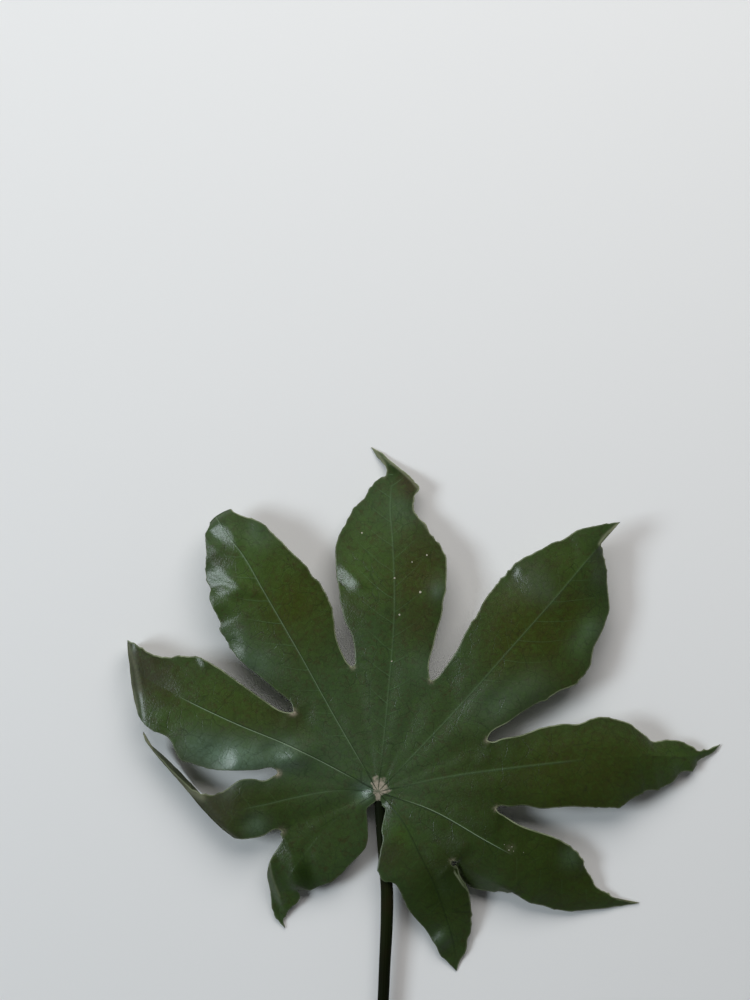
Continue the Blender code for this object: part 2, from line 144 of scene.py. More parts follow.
# Each lobe, clockwise from the stalk: its midrib from the junction to the tip, and its two margins from
# the notch outwards. Margin "before" faces the previous lobe, margin "after" the next one. A point that
# has no height takes it from its neighbours.
LOBES = [{
    "name": "basal_left",
    "rib": [
        (-20, -15, 13), (-29, -25, 12.5), (-37, -36, 10), (-41.5, -46, 5.5), (-42.2, -54, 2.2),
        (-39.7, -60.2, 0.7),
    ],
    "before": [
        (-4.6, -8, 12.2), (-4.7, -14), (-4.8, -22.9, 11.2), (-5.6, -25.2), (-8, -28.2, 10.5),
        (-12.1, -32.2), (-20.5, -40.1, 8.2), (-25, -41.7), (-28.8, -43.4, 6.5), (-34.4, -44, 5.4),
        (-33.3, -45.9, 5), (-34.7, -48.6, 4.2), (-37.7, -51.8, 3.4), (-40.1, -55.1, 2.2),
        (-40.6, -57.4, 1.4),
    ],
    "after": [
        (-40.7, -20.6, 12), (-42.2, -24.5, 11), (-44.9, -28.6), (-46.4, -31.6, 9), (-47.3, -36, 7.6),
        (-46.1, -44.1, 5.2), (-45.6, -48.9), (-44.9, -53, 2.6), (-43.4, -55.9, 1.8), (-41.3, -58.4, 1.1),
    ],
}, {
    "name": "lower_left",
    "rib": [
        (-20.5, -1, 14), (-37, -4, 15), (-50, -7, 16), (-66, -9, 16), (-82, -3, 15), (-93, 9.5, 14),
        (-100.3, 23.6, 13),
    ],
    "before": [
        (-49, -20, 13), (-58, -21.5, 13.5), (-70, -23, 14), (-83, -17, 14), (-95, -4, 14),
        (-101.5, 10, 13.5),
    ],
    "after": [
        (-48.3, 3.5, 15), (-53.2, 4.3), (-59, 3.7, 15), (-63.5, 0.6), (-67.2, -1.7, 15), (-73.9, -2.2, 15),
        (-80.6, 1, 14.8), (-85.4, 5.2), (-89.4, 8.8, 14.3), (-93, 12.3), (-97.2, 16.4, 13.7), (-99.6, 20),
    ],
}, {
    "name": "left",
    "rib": [
        (-37, 18, 16.5), (-61, 28, 18.5), (-82, 38, 18), (-97, 46, 17), (-110, 53, 16.5), (-120, 59, 16),
    ],
    "before": [
        (-52, 8.2, 15.4), (-62, 8, 15.6), (-67.2, 8.1), (-72.7, 8.9, 15.8), (-78.6, 10.8),
        (-84, 12.7, 16.6), (-86.3, 17.1), (-88.1, 20.8, 17.2), (-90.2, 22.8), (-95.3, 24.6, 17),
        (-99.1, 27.8), (-102.9, 32.4, 16), (-109, 41, 16), (-115, 50, 16),
    ],
    "after": [
        (-49, 38, 17.4), (-55, 42.3), (-61, 46.6, 18), (-67.2, 51, 17.8), (-72.1, 54.2),
        (-75.7, 55.7, 17.5), (-84, 56.3), (-89.3, 56, 17), (-94.7, 56.9), (-98.5, 58.4, 16.8),
        (-101.8, 60.8), (-105.5, 62.3, 16.5),
    ],
}, {
    "name": "upper_left",
    "rib": [
        (-20.5, 34, 17), (-32, 55, 20.5), (-49, 84.7, 22.5), (-57.4, 99.3, 22), (-64.1, 108, 20.8),
        (-67.4, 113, 19.6), (-77.5, 131.5, 18.5),
    ],
    "before": [
        (-43.9, 42.4, 16.8), (-51.1, 48.5), (-58.3, 54.3, 17.5), (-62.9, 60.8), (-66.4, 66.5, 18.5),
        (-67.3, 71.2), (-70.2, 78.2, 19.8), (-71.4, 82.4), (-71.2, 85, 19), (-72.7, 88.7),
        (-73.2, 94, 19.4), (-72.8, 98.6, 20), (-73.1, 104.2, 19), (-73.2, 107.7, 18.6), (-72.7, 111.2),
        (-72.4, 113.6, 18.3), (-74, 117.5, 17.8),
    ],
    "after": [
        (-14.9, 56.5, 18), (-18, 64.7, 18.6), (-19, 72.8), (-20.9, 80.3, 19.2), (-24.6, 86.8, 19.5),
        (-27.7, 90.2), (-31.5, 95.6, 20), (-37.2, 100.9), (-41.5, 105.3, 20), (-46.1, 109.7),
        (-48.3, 112.1, 19.5), (-53.2, 114.4), (-58.1, 116.1, 19), (-61, 117.5), (-64, 120.5, 18.5),
    ],
}, {
    "name": "central",
    "rib": [
        (3.8, 37, 17), (6.8, 81, 19.5), (6.1, 103, 17.5), (5, 121, 11.6), (5.6, 129, 7.6),
        (6.2, 133.6, 5.6), (4.4, 137.6, 3.6), (0.6, 141.6, 1.8), (-3.2, 145, 0.7),
    ],
    "before": [
        (-9.8, 54.5, 18), (-10.1, 59.7), (-11.5, 66, 18.6), (-14, 70.9), (-15.8, 78.4, 18),
        (-16.9, 85.8, 17), (-17.8, 90.8), (-18.1, 97, 15.3), (-17.9, 103.2), (-16.4, 108.3, 13.6),
        (-14.2, 111.7), (-12.8, 114.7, 12.5), (-10.7, 118.6), (-8.6, 121.1, 10.6), (-6.4, 122.8),
        (-4.3, 125.6, 9), (-3.3, 128.1), (-0.8, 130.9, 6.6), (2.8, 133, 5.4), (3.4, 135.6, 4.4),
        (2.2, 138.3, 3.4), (-1.2, 142, 1.6),
    ],
    "after": [
        (21.2, 50.5, 17.6), (21.5, 54.5), (23, 59.7, 17), (24.8, 67.2), (26.7, 73.4, 17), (27.4, 79.7),
        (28.5, 84.6, 16.6), (28.9, 90.8, 16), (28.5, 98, 15.2), (26.1, 103.4, 14.3), (22.5, 107.6),
        (19, 113.3, 11.8), (15.9, 116.8), (14.7, 120.3, 10.5), (15.5, 124.1), (17.2, 127, 9),
        (15.5, 130.2, 7.8), (13, 133, 6.2), (9.8, 135.5, 4.6), (5.4, 138.9, 3), (1.6, 142.4, 1.5),
    ],
}, {
    "name": "upper_right",
    "rib": [
        (35, 36, 18), (57, 61, 21), (79, 86, 21.5), (89, 98, 20), (102.3, 113.1, 18),
    ],
    "before": [
        (27.6, 50.6, 18.4), (31.4, 56), (34.4, 61, 19.8), (36.9, 66.6), (41, 73, 20.7), (45, 79.5),
        (47.9, 84.4, 21), (53.2, 90.4), (57.8, 95.4), (61.2, 98.1, 20.8), (64.2, 99.1), (69.2, 101.8),
        (72.7, 103.9, 20.5), (77.4, 105.5), (80.3, 107.1), (84.1, 109.5, 20.5), (90.1, 111.2),
        (94.9, 112.1, 19.5), (100.2, 112.9, 18.4),
    ],
    "after": [
        (55, 28.4, 17), (61.5, 33), (68, 36.6, 16), (71.1, 37.9), (76.5, 41.2, 15.4), (83.6, 44.6, 15),
        (87.3, 48.4), (90, 52.7, 14), (90.9, 58.8), (94.3, 65.5, 12), (96.5, 71.1), (98, 76.5, 12),
        (97.5, 83), (96.8, 89.9, 13.4), (96.5, 94.9), (95.7, 97.3, 15.4), (94.4, 102.3), (93.6, 103.9, 17),
        (95, 106.6), (98.3, 109.7, 17.8), (100.9, 112.1),
    ],
}, {
    "name": "right",
    "rib": [
        (27, 4.7, 15.3), (66, 10.2, 18.4), (100, 13.5, 17.6), (120, 13.8, 12), (131, 13.4, 6.8),
        (137, 14.2, 3.8), (141.5, 15.9, 2), (145.8, 18.4, 0.7),
    ],
    "before": [
        (52, 21.3, 17.3), (59.4, 22.6, 17.5), (70.1, 26.3, 18), (77.7, 27.4), (85.3, 27.9, 18),
        (91.7, 30.2), (95, 30.6, 16), (100.4, 29.6, 14.8), (105.8, 27.9, 13.3), (110.7, 24.7, 12),
        (116.6, 20.1, 10), (123.1, 20.4, 8), (129.6, 19.8, 5.8), (131.8, 18.7), (136.1, 15.9, 4),
        (139.3, 16.1, 2.8), (143.1, 17.4, 1.4),
    ],
    "after": [
        (55, -7.4, 15.3), (61.5, -6.8, 15.5), (68.4, -8.2), (75, -7.9, 15.5), (81, -7.5),
        (91.7, -7.9, 14.5), (99.2, -8.1, 12.8), (103.3, -7.8, 12), (106.9, -4.9), (110.5, -2.9, 10.5),
        (113.6, -1.2), (117.7, -0.7, 8.5), (121.8, 0.6, 7), (124.9, 2.3), (129, 6.7, 5.2), (130.9, 7.3),
        (133.9, 6.9, 4), (135.5, 10.3, 3), (137.3, 12.3, 2.8), (141, 13.9, 1.7), (144.3, 16.6, 1),
    ],
}, {
    "name": "lower_right",
    "rib": [
        (21.4, -8.5, 14), (47.5, -23, 15), (70.5, -35.2, 12), (94, -45, 4.5), (111.2, -49.4, 0.7),
    ],
    "before": [
        (52.5, -10.9, 14.6), (59, -15, 14), (68.2, -18.5, 13.2), (76.3, -21.3, 12), (79.5, -23.2),
        (86, -29, 8.5), (89, -36, 6.5), (93, -42, 4.5), (98.4, -45.5), (102.5, -47.9, 1.6),
        (107, -48.9, 1.1),
    ],
    "after": [
        (32, -34.6, 10.8), (34.2, -38.4, 10.6), (37.2, -42.4, 10), (42, -44.6, 9.4), (47.2, -45, 9.4),
        (52, -45.2, 9.2), (58.5, -45.8, 8.6), (63.9, -48.9, 7.5), (70.3, -50.3), (78.8, -52.5, 4),
        (92, -51.9, 2), (103, -50.6, 0.9),
    ],
}, {
    "name": "basal_right",
    "rib": [
        (10.8, -14.4, 13.5), (17.2, -27, 13), (24, -41, 11), (29, -55.5, 7), (32.4, -68.2, 2.6),
        (33.2, -78.3, 0.7),
    ],
    "before": [
        (32.8, -32.6, 12.6), (34.5, -36.9, 11.5), (37.8, -42.4, 10.5), (39, -47.8, 8.7), (39.6, -55.3, 6),
        (39.4, -60.7, 4.3), (38, -64.5), (37.2, -69.4, 2.3), (34.6, -74.2, 1.3),
    ],
    "after": [
        (2.6, -8.1, 13), (2.2, -12.8), (1.3, -18.2, 13.2), (1.9, -20.8), (1, -25.8, 13.2),
        (-0.2, -32.8, 13), (-0.1, -34.6), (0.8, -37.8, 12.6), (2.2, -39.6), (5.7, -39.9, 12.2),
        (7.6, -41, 12), (10.2, -46.1, 10.3), (13.9, -53.2, 8), (17.2, -56.9), (19.9, -60.2, 5.3),
        (23.7, -66.1, 3.6), (26.9, -71.9, 2), (30.2, -75.3, 1.3),
    ],
}]

# Where a lobe's end or side rolls under: a point on the line where the roll starts, the compass of the
# rolled side in degrees from +x, the height of the line, the roll's radius and its largest angle
ROLLS = {
    "upper_left": ((-66.5, 111.9), 120.0, 19.5, 5.0, 115.0),
    "left": ((-100.4, 46.6), 187.0, 16.5, 5.0, 100.0),
    "lower_left": ((-77.0, 0.0), 222.4, 15.0, 4.0, 100.0),
    "lower_right": ((46.5, -37.5), 236.9, 12.0, 3.0, 22.0),
}

# Folds and curls of the sheet: points of the middle line, height, half width
FOLDS = [
    ([(-46.4, -31.6), (-45.1, -37.6), (-41.3, -46.5)], 1.6, 2.5),
    ([(-46, -31.6), (-44.4, -39.6), (-41.8, -46.6), (-39.8, -51)], 0.8, 1.6),
    ([(84.5, 106), (88, 97), (90, 90)], 0.6, 3),
]

# Places that lean: middle, compass of the long axis in degrees from +x, half length, half width, compass
# of the lean, and its slope. FACET_REACH says how far into its surroundings such a place fades.
FACET_REACH = 1.6
FACETS = [
    (-66.2, 108.6, 140, 7.6, 3.8, 212, 0.29), (-67.5, 88.6, 158, 8.5, 4, 180, 0.27),
    (-57.5, 84.6, 165, 6, 1.8, 184, 0.2), (-58.6, 57.6, 130, 5.4, 2.8, 142, 0.25),
    (-61.5, 66, 125, 8, 5, 142, 0.12), (-52.8, 111, 100, 5, 3.5, 209, 0.24),
    (-13.4, 89, 160, 6.2, 3.4, 193, 0.27), (-75.6, 54, 145, 3.2, 1.8, 193, 0.36),
    (-66.5, 12.6, 80, 7.5, 6, 150, 0.195), (-41, 14.6, 170, 6.5, 3.4, 150, 0.3),
    (-54, 13, 0, 10, 6, 161, 0.17), (58.6, 91.8, 40, 3, 1.6, 188, 0.26), (64, 86, 100, 8, 4, 204, 0.04),
    (25, 39, 62, 12, 6, 0, 0.1), (12, 26, 62, 12, 5, 0, 0.06), (-33.5, 33, 60, 8, 4, 0, 0.1),
    (87.5, 65.2, 60, 6, 3.5, 179, 0.16), (57, 39.5, 35, 12, 5, 160, 0.15), (25.2, 84.3, 80, 4, 3, 198, 0.2),
    (82.4, -28.4, 140, 4.5, 3, 172, 0.25), (25.2, -64, 60, 4.5, 3.2, 118, 0.3),
    (-5.5, -1.5, 10, 3.2, 1.6, 128, 0.25), (-32.4, -35.5, 90, 7, 4, 20, 0.3),
    (-49.4, -14.8, 0, 7, 3, 152, 0.2),
]

# Bulges and dents: place, height, half widths along x and along y
BULGES = [
    (-56.5, 11, 3.4, 9, 9), (-32.5, 15.5, 2.2, 8, 6), (-8.5, -1.8, -1.8, 5, 4), (29, 83, 2.4, 9, 7),
    (51, 88, -1.8, 9, 8), (92, 63, 2, 9, 9), (1, -12, -0.6, 5, 6), (1.8, -5.5, -0.7, 2.8, 2.4),
    (29, -63, 1.3, 5, 5), (62, 40, 0.8, 14, 8), (100, 20, 0.7, 12, 8), (8, 62, -0.6, 9, 12),
]

# Tints of the blade: place, radius, and the share of each kind there. The kinds are an olive tone, a
# lighter green that is also painted light on lit faces and glowing margins, brown, painted shade, and
# painted sheen.
TINT_KINDS = ("olive", "bright", "brown", "shade", "bloom")
TINTS = [
    (-42, 80, 26, 0.9, 0, 0, 0, 0), (-54, 98, 14, 0.1, 0.9, 0, 0, 0), (-51, 108, 7, 0, 0, 0, 0, 0.3),
    (-62, 78, 12, 0, 0.5, 0, 0.05, 0), (-66, 98, 5, 0, 0, 0.3, 0.3, 0), (-67, 108, 5, 0, 0, 0, 0, 0.3),
    (-67, 89, 6, 0, 0, 0, 0, 0.3), (-60, 64, 7, 0, 0, 0, 0, 0.3), (-55, 54, 7, 0, 0, 0, 0, 0.4),
    (-48, 52, 8, 0, 0, 0, 0, 0.25), (60, 68, 24, 1, 0, 0.12, 0.05, 0), (80, 72, 14, 0.5, 0.1, 0, 0.1, 0),
    (85, 61, 6, 0, 0.9, 0, 0, 0.2), (90, 68, 5, 0, 0.4, 0, 0, 0.35), (95, 84, 8, 0, 0.2, 0, 0.55, 0),
    (95, 101, 5, 0, 0, 0, 0.6, 0), (76, 100, 14, 0.3, 0.3, 0, 0, 0), (74, 92, 8, 0.3, 0, 0, 0.35, 0),
    (65, 88, 8, 0.5, 0, 0.3, 0, 0.28), (72, 82, 5, 0, 0, 0.2, 0, 0.16), (46, 35, 10, 0, 0, 0, 0, 0.26),
    (56, 39, 9, 0, 0, 0, 0, 0.14), (66, 44, 9, 0, 0, 0, 0, 0.2), (0, 24, 26, 0.1, 0, 0, 0, 0.13),
    (-22, 10, 14, 0, 0, 0, 0, 0.15), (14, 0, 8, 0, 0, 0, 0, 0.1), (85, 8, 36, 1, 0, 0.1, 0.2, 0),
    (43, 16, 12, 0.2, 0, 0, 0.45, 0), (60, 19, 10, 0.2, 0, 0, 0.3, 0), (126, 12, 10, 0.3, 0.9, 0, 0.1, 0),
    (112, 4, 10, 0.3, 0.2, 0, 0.3, 0), (-8, 98, 16, 0.2, 0.8, 0, 0.1, 0),
    (-12, 76, 8, 0.4, 0.2, 0, 0.25, 0), (16, 90, 14, 0.9, 0, 0.3, 0, 0), (21, 104, 9, 0.5, 0, 0.3, 0.3, 0),
    (10, 118, 6, 0, 0, 0, 0, 0.22), (14, 127, 5, 0.4, 0, 0.9, 0.2, 0), (7, 136, 4, 0, 0, 0, 1, 0),
    (12, 131, 4, 0.3, 0, 0.8, 0.2, 0), (25, 84, 4, 0, 0, 0, 0, 0.35), (18, 52, 7, 0, 0.3, 0, 0, 0.22),
    (-80, 34, 20, 0.4, 0.4, 0, 0, 0), (-90, 44, 9, 0.3, 0, 0.3, 0.25, 0), (-60, 34, 18, 0.6, 0.1, 0, 0, 0),
    (-37, 30, 9, 0.3, 0, 0.2, 0.25, 0), (-100, 50, 10, 0.3, 0, 0.7, 0.2, 0), (-78, 18, 8, 0, 0, 0, 0, 0.65),
    (-66, 13, 9, 0, 0, 0, 0, 0.95), (-53, 13, 9, 0, 0, 0, 0, 0.7), (-40, 14, 8, 0, 0, 0, 0, 0.6),
    (-45, 24, 12, 0.2, 0, 0.1, 0, 0), (-6, -1, 4.5, 0, 0, 0, 0, 0.8), (-80, -6, 22, 0.6, 0, 1.2, 0.5, 0),
    (-108, 50, 9, 0, 0, 0.9, 0.5, 0), (-45, -12, 22, 0.4, 0, 0, 0.4, 0), (-52, -16, 6, 0, 0, 0, 0, 0.45),
    (-20, -12, 9, 0.2, 0, 0, 0.35, 0), (-32, -35, 5, 0, 0, 0, 1, 0), (-30, -41, 5, 0, 0, 0, 0.7, 0),
    (-45, -40, 4, 0, 0, 0, 0.2, 0), (-38, -49, 5, 0, 0.7, 0, 0, 0), (9, -21, 6, 0, 1.1, 0, 0.1, 0),
    (5, -28, 6, 0.4, 0, 0.6, 0.3, 0), (30, -40, 13, 0.4, 0, 0.6, 0.7, 0), (18, -50, 22, 0.2, 0, 0, 0.55, 0),
    (28, -66, 9, 0.2, 0, 0, 0.35, 0), (26, -64, 5, 0, 0, 0, 0, 0.25), (75, -32, 30, 0.6, 0.1, 0, 0.65, 0),
    (82, -29, 5, 0, 0, 0, 0, 0.3), (44, -14, 18, 0.3, 0, 0, 0.5, 0), (26, -15, 8, 0.2, 0, 0, 0.3, 0),
    (46, -41, 6, 0, 0, 0, 0, 0.15), (17, 68, 9, 0.4, 0, 0.4, 0, 0),
]

# Pale lines of wear along folds, and one painted highlight on a fold's ridge: points, half width, strength
WEAR_AND_PAINTED_HIGHLIGHT = [
    ([(-107, 60.6), (-105.8, 53.8), (-105, 44.5), (-102.3, 33)], 0.8, 0.6),
    ([(-106, 61), (-103.6, 53.4), (-101.8, 46.8), (-100.9, 41.5)], 0.7, 0.4),
    ([(-2.6, 144.6), (-1.4, 143.4), (0.6, 140.8), (2.3, 138.1), (3, 135.2), (2.4, 132.6)], 0.8, 0.7),
    ([(2.3, 140.7), (5.7, 137.9), (10, 134.6), (14.6, 130.2), (17, 127), (15.1, 122.5), (14.8, 118),
    (19, 113), (22.7, 107.8)], 0.5, 0.6),
    ([(93.6, 103.9), (95, 106.6), (98.3, 109.7), (101, 112)], 0.7, 0.75),
    ([(-99.8, 22.9), (-97.5, 18), (-93, 11), (-86, 3.5), (-81, -1), (-75, -3.5)], 1.9, 0.6),
    # Painted highlight along the ridge of basal_left's fold
    ([(-46.2, -32.5), (-45.2, -37.6), (-42, -46)], 0.5, 0.35),
]

# Scars: place, radius, strength
SCARS = [
    (-41, -18, 1.6, 0.3), (-42.6, 6.8, 1.3, 0.8), (-36.2, 32.6, 1.3, 0.8), (-11, 51.9, 1, 0.6),
    (22.2, 46, 1, 0.5), (46, 20.8, 1, 0.4), (49.8, -8.3, 1, 0.4), (31.1, -30.5, 0.9, 0.35),
    (56, -25, 1.8, 0.1),
]

# Pale specks on the blade: place and radius
SPECKS = [
    (6.8, 89.4, 0.45), (17.7, 83.5, 0.6), (8.9, 73.9, 0.5), (5.6, 54.2, 0.4), (14.2, 96.2, 0.35),
    (-7, 108.5, 0.4), (20.5, 99.1, 0.45), (53.4, -23.6, 0.22), (55.3, -25.9, 0.3), (56.6, -24.5, 0.24),
    (57.3, -26.4, 0.2), (61.5, -27, 0.18),
]

# Each main vein: how strongly its fine line shows (below zero where it is darker than the blade), the
# wider green band along it, and how far both reach. Then, for the margin before and the one after it: how
# strongly the side veins show, and how pale the rim is.
VEINS = {
    "basal_left": (0.0, 0.1, 0.6, 0.15, 0.15, 0.2, 0.3),
    "lower_left": (0.1, 0.35, 0.42, 0.15, 0.2, 0.6, 0.6),
    "left": (0.9, 0.3, 0.62, 0.15, 0.15, 0.2, 1.0),
    "upper_left": (0.45, 0.3, 0.85, 0.8, 0.15, 0.2, 0.9),
    "central": (0.1, 0.35, 0.8, 1.0, 0.8, 0.3, 1.0),
    "upper_right": (0.12, 0.35, 0.84, 0.15, 0.4, 0.5, 0.9),
    "right": (0.05, 0.45, 0.5, 0.15, 0.1, 1.0, 0.4),
    "lower_right": (0.9, 0.2, 0.42, 0.1, 0.2, 1.0, 0.5),
    "basal_right": (-0.6, 0.0, 0.85, 0.1, 0.15, 0.5, 0.15),
}

# The pale patch where the main veins meet: its reach in each compass direction, in degrees from +x
STAR = [
    (-100, 3.8), (-80, 3.8), (-62, 2.2), (-30, 2.2), (-8, 4.2), (6, 5.2), (20, 4), (35, 5.6), (46, 4.6),
    (60, 6.6), (72, 6), (84, 5), (96, 6.4), (106, 7.2), (117, 5), (128, 5.6), (140, 2.6), (170, 1.8),
    (220, 1.8), (245, 2.4), (260, 3.8),
]

# What the rim's faces carry in place of measured values. Values not named here are 0.
RIM_VALUES = {"share": 1.0, "across": 20.0, "radius": 50.0, "star": 9.0, "rim": 0.6}

# The stalk's middle line from the blade to the foot: x, y, height and radius
STALK = [
    (0.1, 3, 9.7, 1.9), (0.4, -3, 9.6, 2.2), (1.2, -17.4, 9.2, 2.1), (2.3, -30.1, 8.8, 2.3),
    (3.6, -43, 8.4, 2.6), (3.6, -53.4, 8.1, 2.6), (2.6, -76.7, 7.3, 2.4), (0.8, -120, 5.8, 2.4),
    (-1.4, -165, 4.3, 2.6), (-3.2, -210, 2.9, 2.9),
]
STALK_SIDES = 56
STALK_STEP = 1.3
STALK_GLOSS = 0.05

# Its ridges: how many, the share of the height, and the turn of the first
STALK_RIDGES = ((14, 1.0, 0.0), (5, 0.5, 1.0))
STALK_RIDGE_HEIGHT = 0.05

# Its ends: the shares of its radius at which they are rounded in, how far the head bulges out, how far
# the foot's cut stands out at its edge, and how much deeper its middle lies
STALK_CAP = (0.96, 0.7, 0.35, 0.02)
HEAD_DOME = 1.5
CUT_EDGE = 0.12
CUT_DEPTH = 0.3

# Colours of the blade's upper side, its underside, the stalk and its cut, and the surface: mostly pigments,
# with the painted shade, sheen and light among them marked
DEEP = (0.0355, 0.0635, 0.0205)
OLIVE = (0.0365, 0.0495, 0.0068)
# Lighter green, used as a tone and as painted light on lit faces and glowing margins
BRIGHT = (0.042, 0.079, 0.014)
BROWN = (0.036, 0.029, 0.009)
# Painted shade: dark green for the parts of the blade in shade
PAINTED_SHADE = (0.013, 0.027, 0.004)
# Painted sheen: pale blue-green standing in for the blade's soft reflections
PAINTED_SHEEN = (0.085, 0.136, 0.088)
VEIN = (0.080, 0.145, 0.062)
PALE = (0.22, 0.29, 0.19)
# Dark green of fine and dark veins, also used for painted shadows beside veins and painted shade in creases
DARK = (0.007, 0.013, 0.005)
RIM = (0.22, 0.25, 0.15)
WORN = (0.19, 0.175, 0.125)
BEIGE = (0.51, 0.42, 0.335)
SPECK = (0.45, 0.42, 0.34)
UNDER_DARK = (0.075, 0.100, 0.042)
UNDER_PALE = (0.11, 0.135, 0.062)
UNDER_VEIN = (0.20, 0.21, 0.10)
STREAK_DARK = (0.005, 0.008, 0.002)
STREAK_PALE = (0.014, 0.018, 0.005)
STALK_BROWN = (0.014, 0.012, 0.005)
# Painted shade: near black, for the stalk where the blade shades it
STALK_PAINTED_SHADE = (0.003, 0.005, 0.0025)
STALK_LOW = (0.003, 0.004, 0.0015)
FIBRE_DARK = (0.20, 0.17, 0.10)
FIBRE_PALE = (0.34, 0.30, 0.20)
PAPER = (0.78, 0.78, 0.78)

# Sizes of the set, in metres
FLOOR_SIZE = 12.0
FLOOR_STEPS = 8
FAR_LIMIT = 30.0
VIEW_HEIGHT = 0.4237
CAMERA_DISTANCE = 2.4
LEAF_LEVEL = 0.015
LEAF_MIDDLE = (-0.02, 0.08, 0.01)

# Middle of the view, in millimetres from the vein junction
VIEW_MIDDLE = (-1.48, 122.45)

# The lights: name, place and size in metres, power, colour, and whether glossy surfaces mirror them
LIGHTS = [
    ("window", (-1.6, 0.02, 1.58), (0.75, 0.75), 23.0, (0.84, 0.94, 1.0), True),
    ("ceiling", (0.05, 0.85, 0.85), (1.2, 0.9), 10.8, (1.0, 0.98, 0.96), False),
]

# The pale band round the horizon: the heights between which it fades, its strength below and above, colour
BAND_HEIGHTS = (0.25, 0.65)
BAND_STRENGTHS = (0.26, 0.03)
BAND_COLOUR = (0.95, 0.97, 1.0)


def unit(vectors):
    """The vectors, each brought to length 1."""
    return vectors / np.maximum(np.linalg.norm(vectors, axis=-1, keepdims=True), 1e-12)


def towards(degrees):
    """The flat direction at this compass, counted from +x towards +y."""
    return np.array((math.cos(math.radians(degrees)), math.sin(math.radians(degrees))))


def smoothstep(value):
    value = np.clip(value, 0.0, 1.0)
    return value * value * (3.0 - 2.0 * value)


def bell(distance, width):
    """1 at no distance, and a smooth fall to nearly 0 at twice the width."""
    return np.exp(-((distance / width) ** 2))


def with_heights(points):
    """The points as rows of x, y and z. One without a height takes it from its neighbours."""
    flat = np.array([p[:2] for p in points], float)
    reach = lengths_along(flat)
    known = [i for i, p in enumerate(points) if len(p) == 3]
    heights = np.interp(reach, reach[known], [points[i][2] for i in known])
    return np.column_stack((flat, heights))


def smooth_line(points):
    """A curve through the points, as a dense list in which they are every SPLINE_STEPS-th entry."""
    chords = np.linalg.norm(np.diff(points, axis=0), axis=1)[:, None]
    rates = np.diff(points, axis=0) / chords
    slopes = np.empty_like(points)
    slopes[0] = rates[0]
    slopes[-1] = rates[-1]
    slopes[1:-1] = (rates[:-1] * chords[1:] + rates[1:] * chords[:-1]) / (chords[:-1] + chords[1:])
    t = (np.arange(SPLINE_STEPS) / SPLINE_STEPS)[:, None]
    pieces = [
        a * (2 * t**3 - 3 * t**2 + 1) + b * (3 * t**2 - 2 * t**3)
        + da * h * (t**3 - 2 * t**2 + t) + db * h * (t**3 - t**2)
        for a, b, da, db, h in zip(points, points[1:], slopes, slopes[1:], chords)
    ]
    return np.vstack(pieces + [points[-1:]])


def lengths_along(line):
    return np.concatenate(([0.0], np.cumsum(np.linalg.norm(np.diff(line, axis=0), axis=1))))


def picked(line, reach, wanted):
    """The line's values where its reach has the wanted lengths."""
    return np.column_stack([np.interp(wanted, reach, values) for values in line.T])


def points_along(line, shares):
    """Points at rising shares of the line's length."""
    reach = lengths_along(line)
    return picked(line, reach, shares * reach[-1])


def toothed(line, side, seed):
    """The margin with its small forward teeth, which fade towards the notch. side is 1 or -1."""
    reach = lengths_along(line)
    heading = unit(np.gradient(line[:, :2], axis=0))
    outward = np.column_stack((-heading[:, 1], heading[:, 0])) * side
    grown = smoothstep((reach - BARE_START) / TOOTH_RISE)
    grown *= 1.0 - smoothstep((reach - reach[-1] + BARE_END) / BARE_END)
    swing = np.sin(reach / SWING_LENGTH + SWING_SHIFT * seed)
    size = grown * (1.0 - TOOTH_SWING + TOOTH_SWING * swing)
    push = np.zeros(len(line))
    for spacing, height in TEETH:
        place = reach / spacing
        wander = sum(far * np.sin(place * rate + shift * seed) for far, rate, shift in WANDERS)
        part = (place + wander) % 1.0
        rising = np.where(part < TOOTH_PEAK, part / TOOTH_PEAK, (1.0 - part) / (1.0 - TOOTH_PEAK))
        push += height * (rising**2 - TOOTH_INSIDE)
    moved = line.copy()
    moved[:, :2] += outward * (push * size)[:, None]
    return moved


def margins():
    """For each notch, the margins of the lobes before and after it, both from the notch outwards."""
    pairs = []
    for i, notch in enumerate(NOTCHES):
        end = np.array(notch)
        outward = np.array((end[0], end[1], 0.0)) / math.hypot(end[0], end[1])
        across = np.array((-outward[1], outward[0], 0.0))
        previous = LOBES[i - 1]
        following = LOBES[i]
        towards_previous = with_heights(previous["after"] + previous["rib"][-1:])
        towards_following = with_heights(following["before"] + following["rib"][-1:])
        shoulder_a = end + (outward + across) * NOTCH_RADIUS
        shoulder_b = end + (outward - across) * NOTCH_RADIUS
        chain = np.vstack((towards_previous[::-1], shoulder_a, end, shoulder_b, towards_following))
        line = smooth_line(chain)
        middle = (len(towards_previous) + 1) * SPLINE_STEPS
        pairs.append((toothed(line[: middle + 1][::-1], -1, i), toothed(line[middle:], 1, i + 0.5)))
    return pairs


def joined_rows(notch):
    """How many rows lie between the junction and the notch."""
    return max(1, round(math.hypot(notch[0], notch[1]) / ROW_STEP))


def column_shares(widths):
    """Shares of each row's width: set distances by the midrib and the rim, and equal steps between."""
    widths = np.maximum(widths, 1e-6)[:, None]
    near = np.array(RIB_COLUMNS)
    steps = COLUMNS - len(near)
    even = np.arange(1, steps + 1) / steps
    start = near[-1]
    rest = start + (widths - RIM_COLUMN - start) * even
    wide = np.hstack((near + 0.0 * widths, rest, widths)) / widths
    narrow = np.arange(COLUMNS + 1) / COLUMNS
    blend = smoothstep((widths / (start + RIM_COLUMN) - NARROW_ROW) / (WIDE_ROW - NARROW_ROW))
    return wide * blend + narrow * (1.0 - blend)


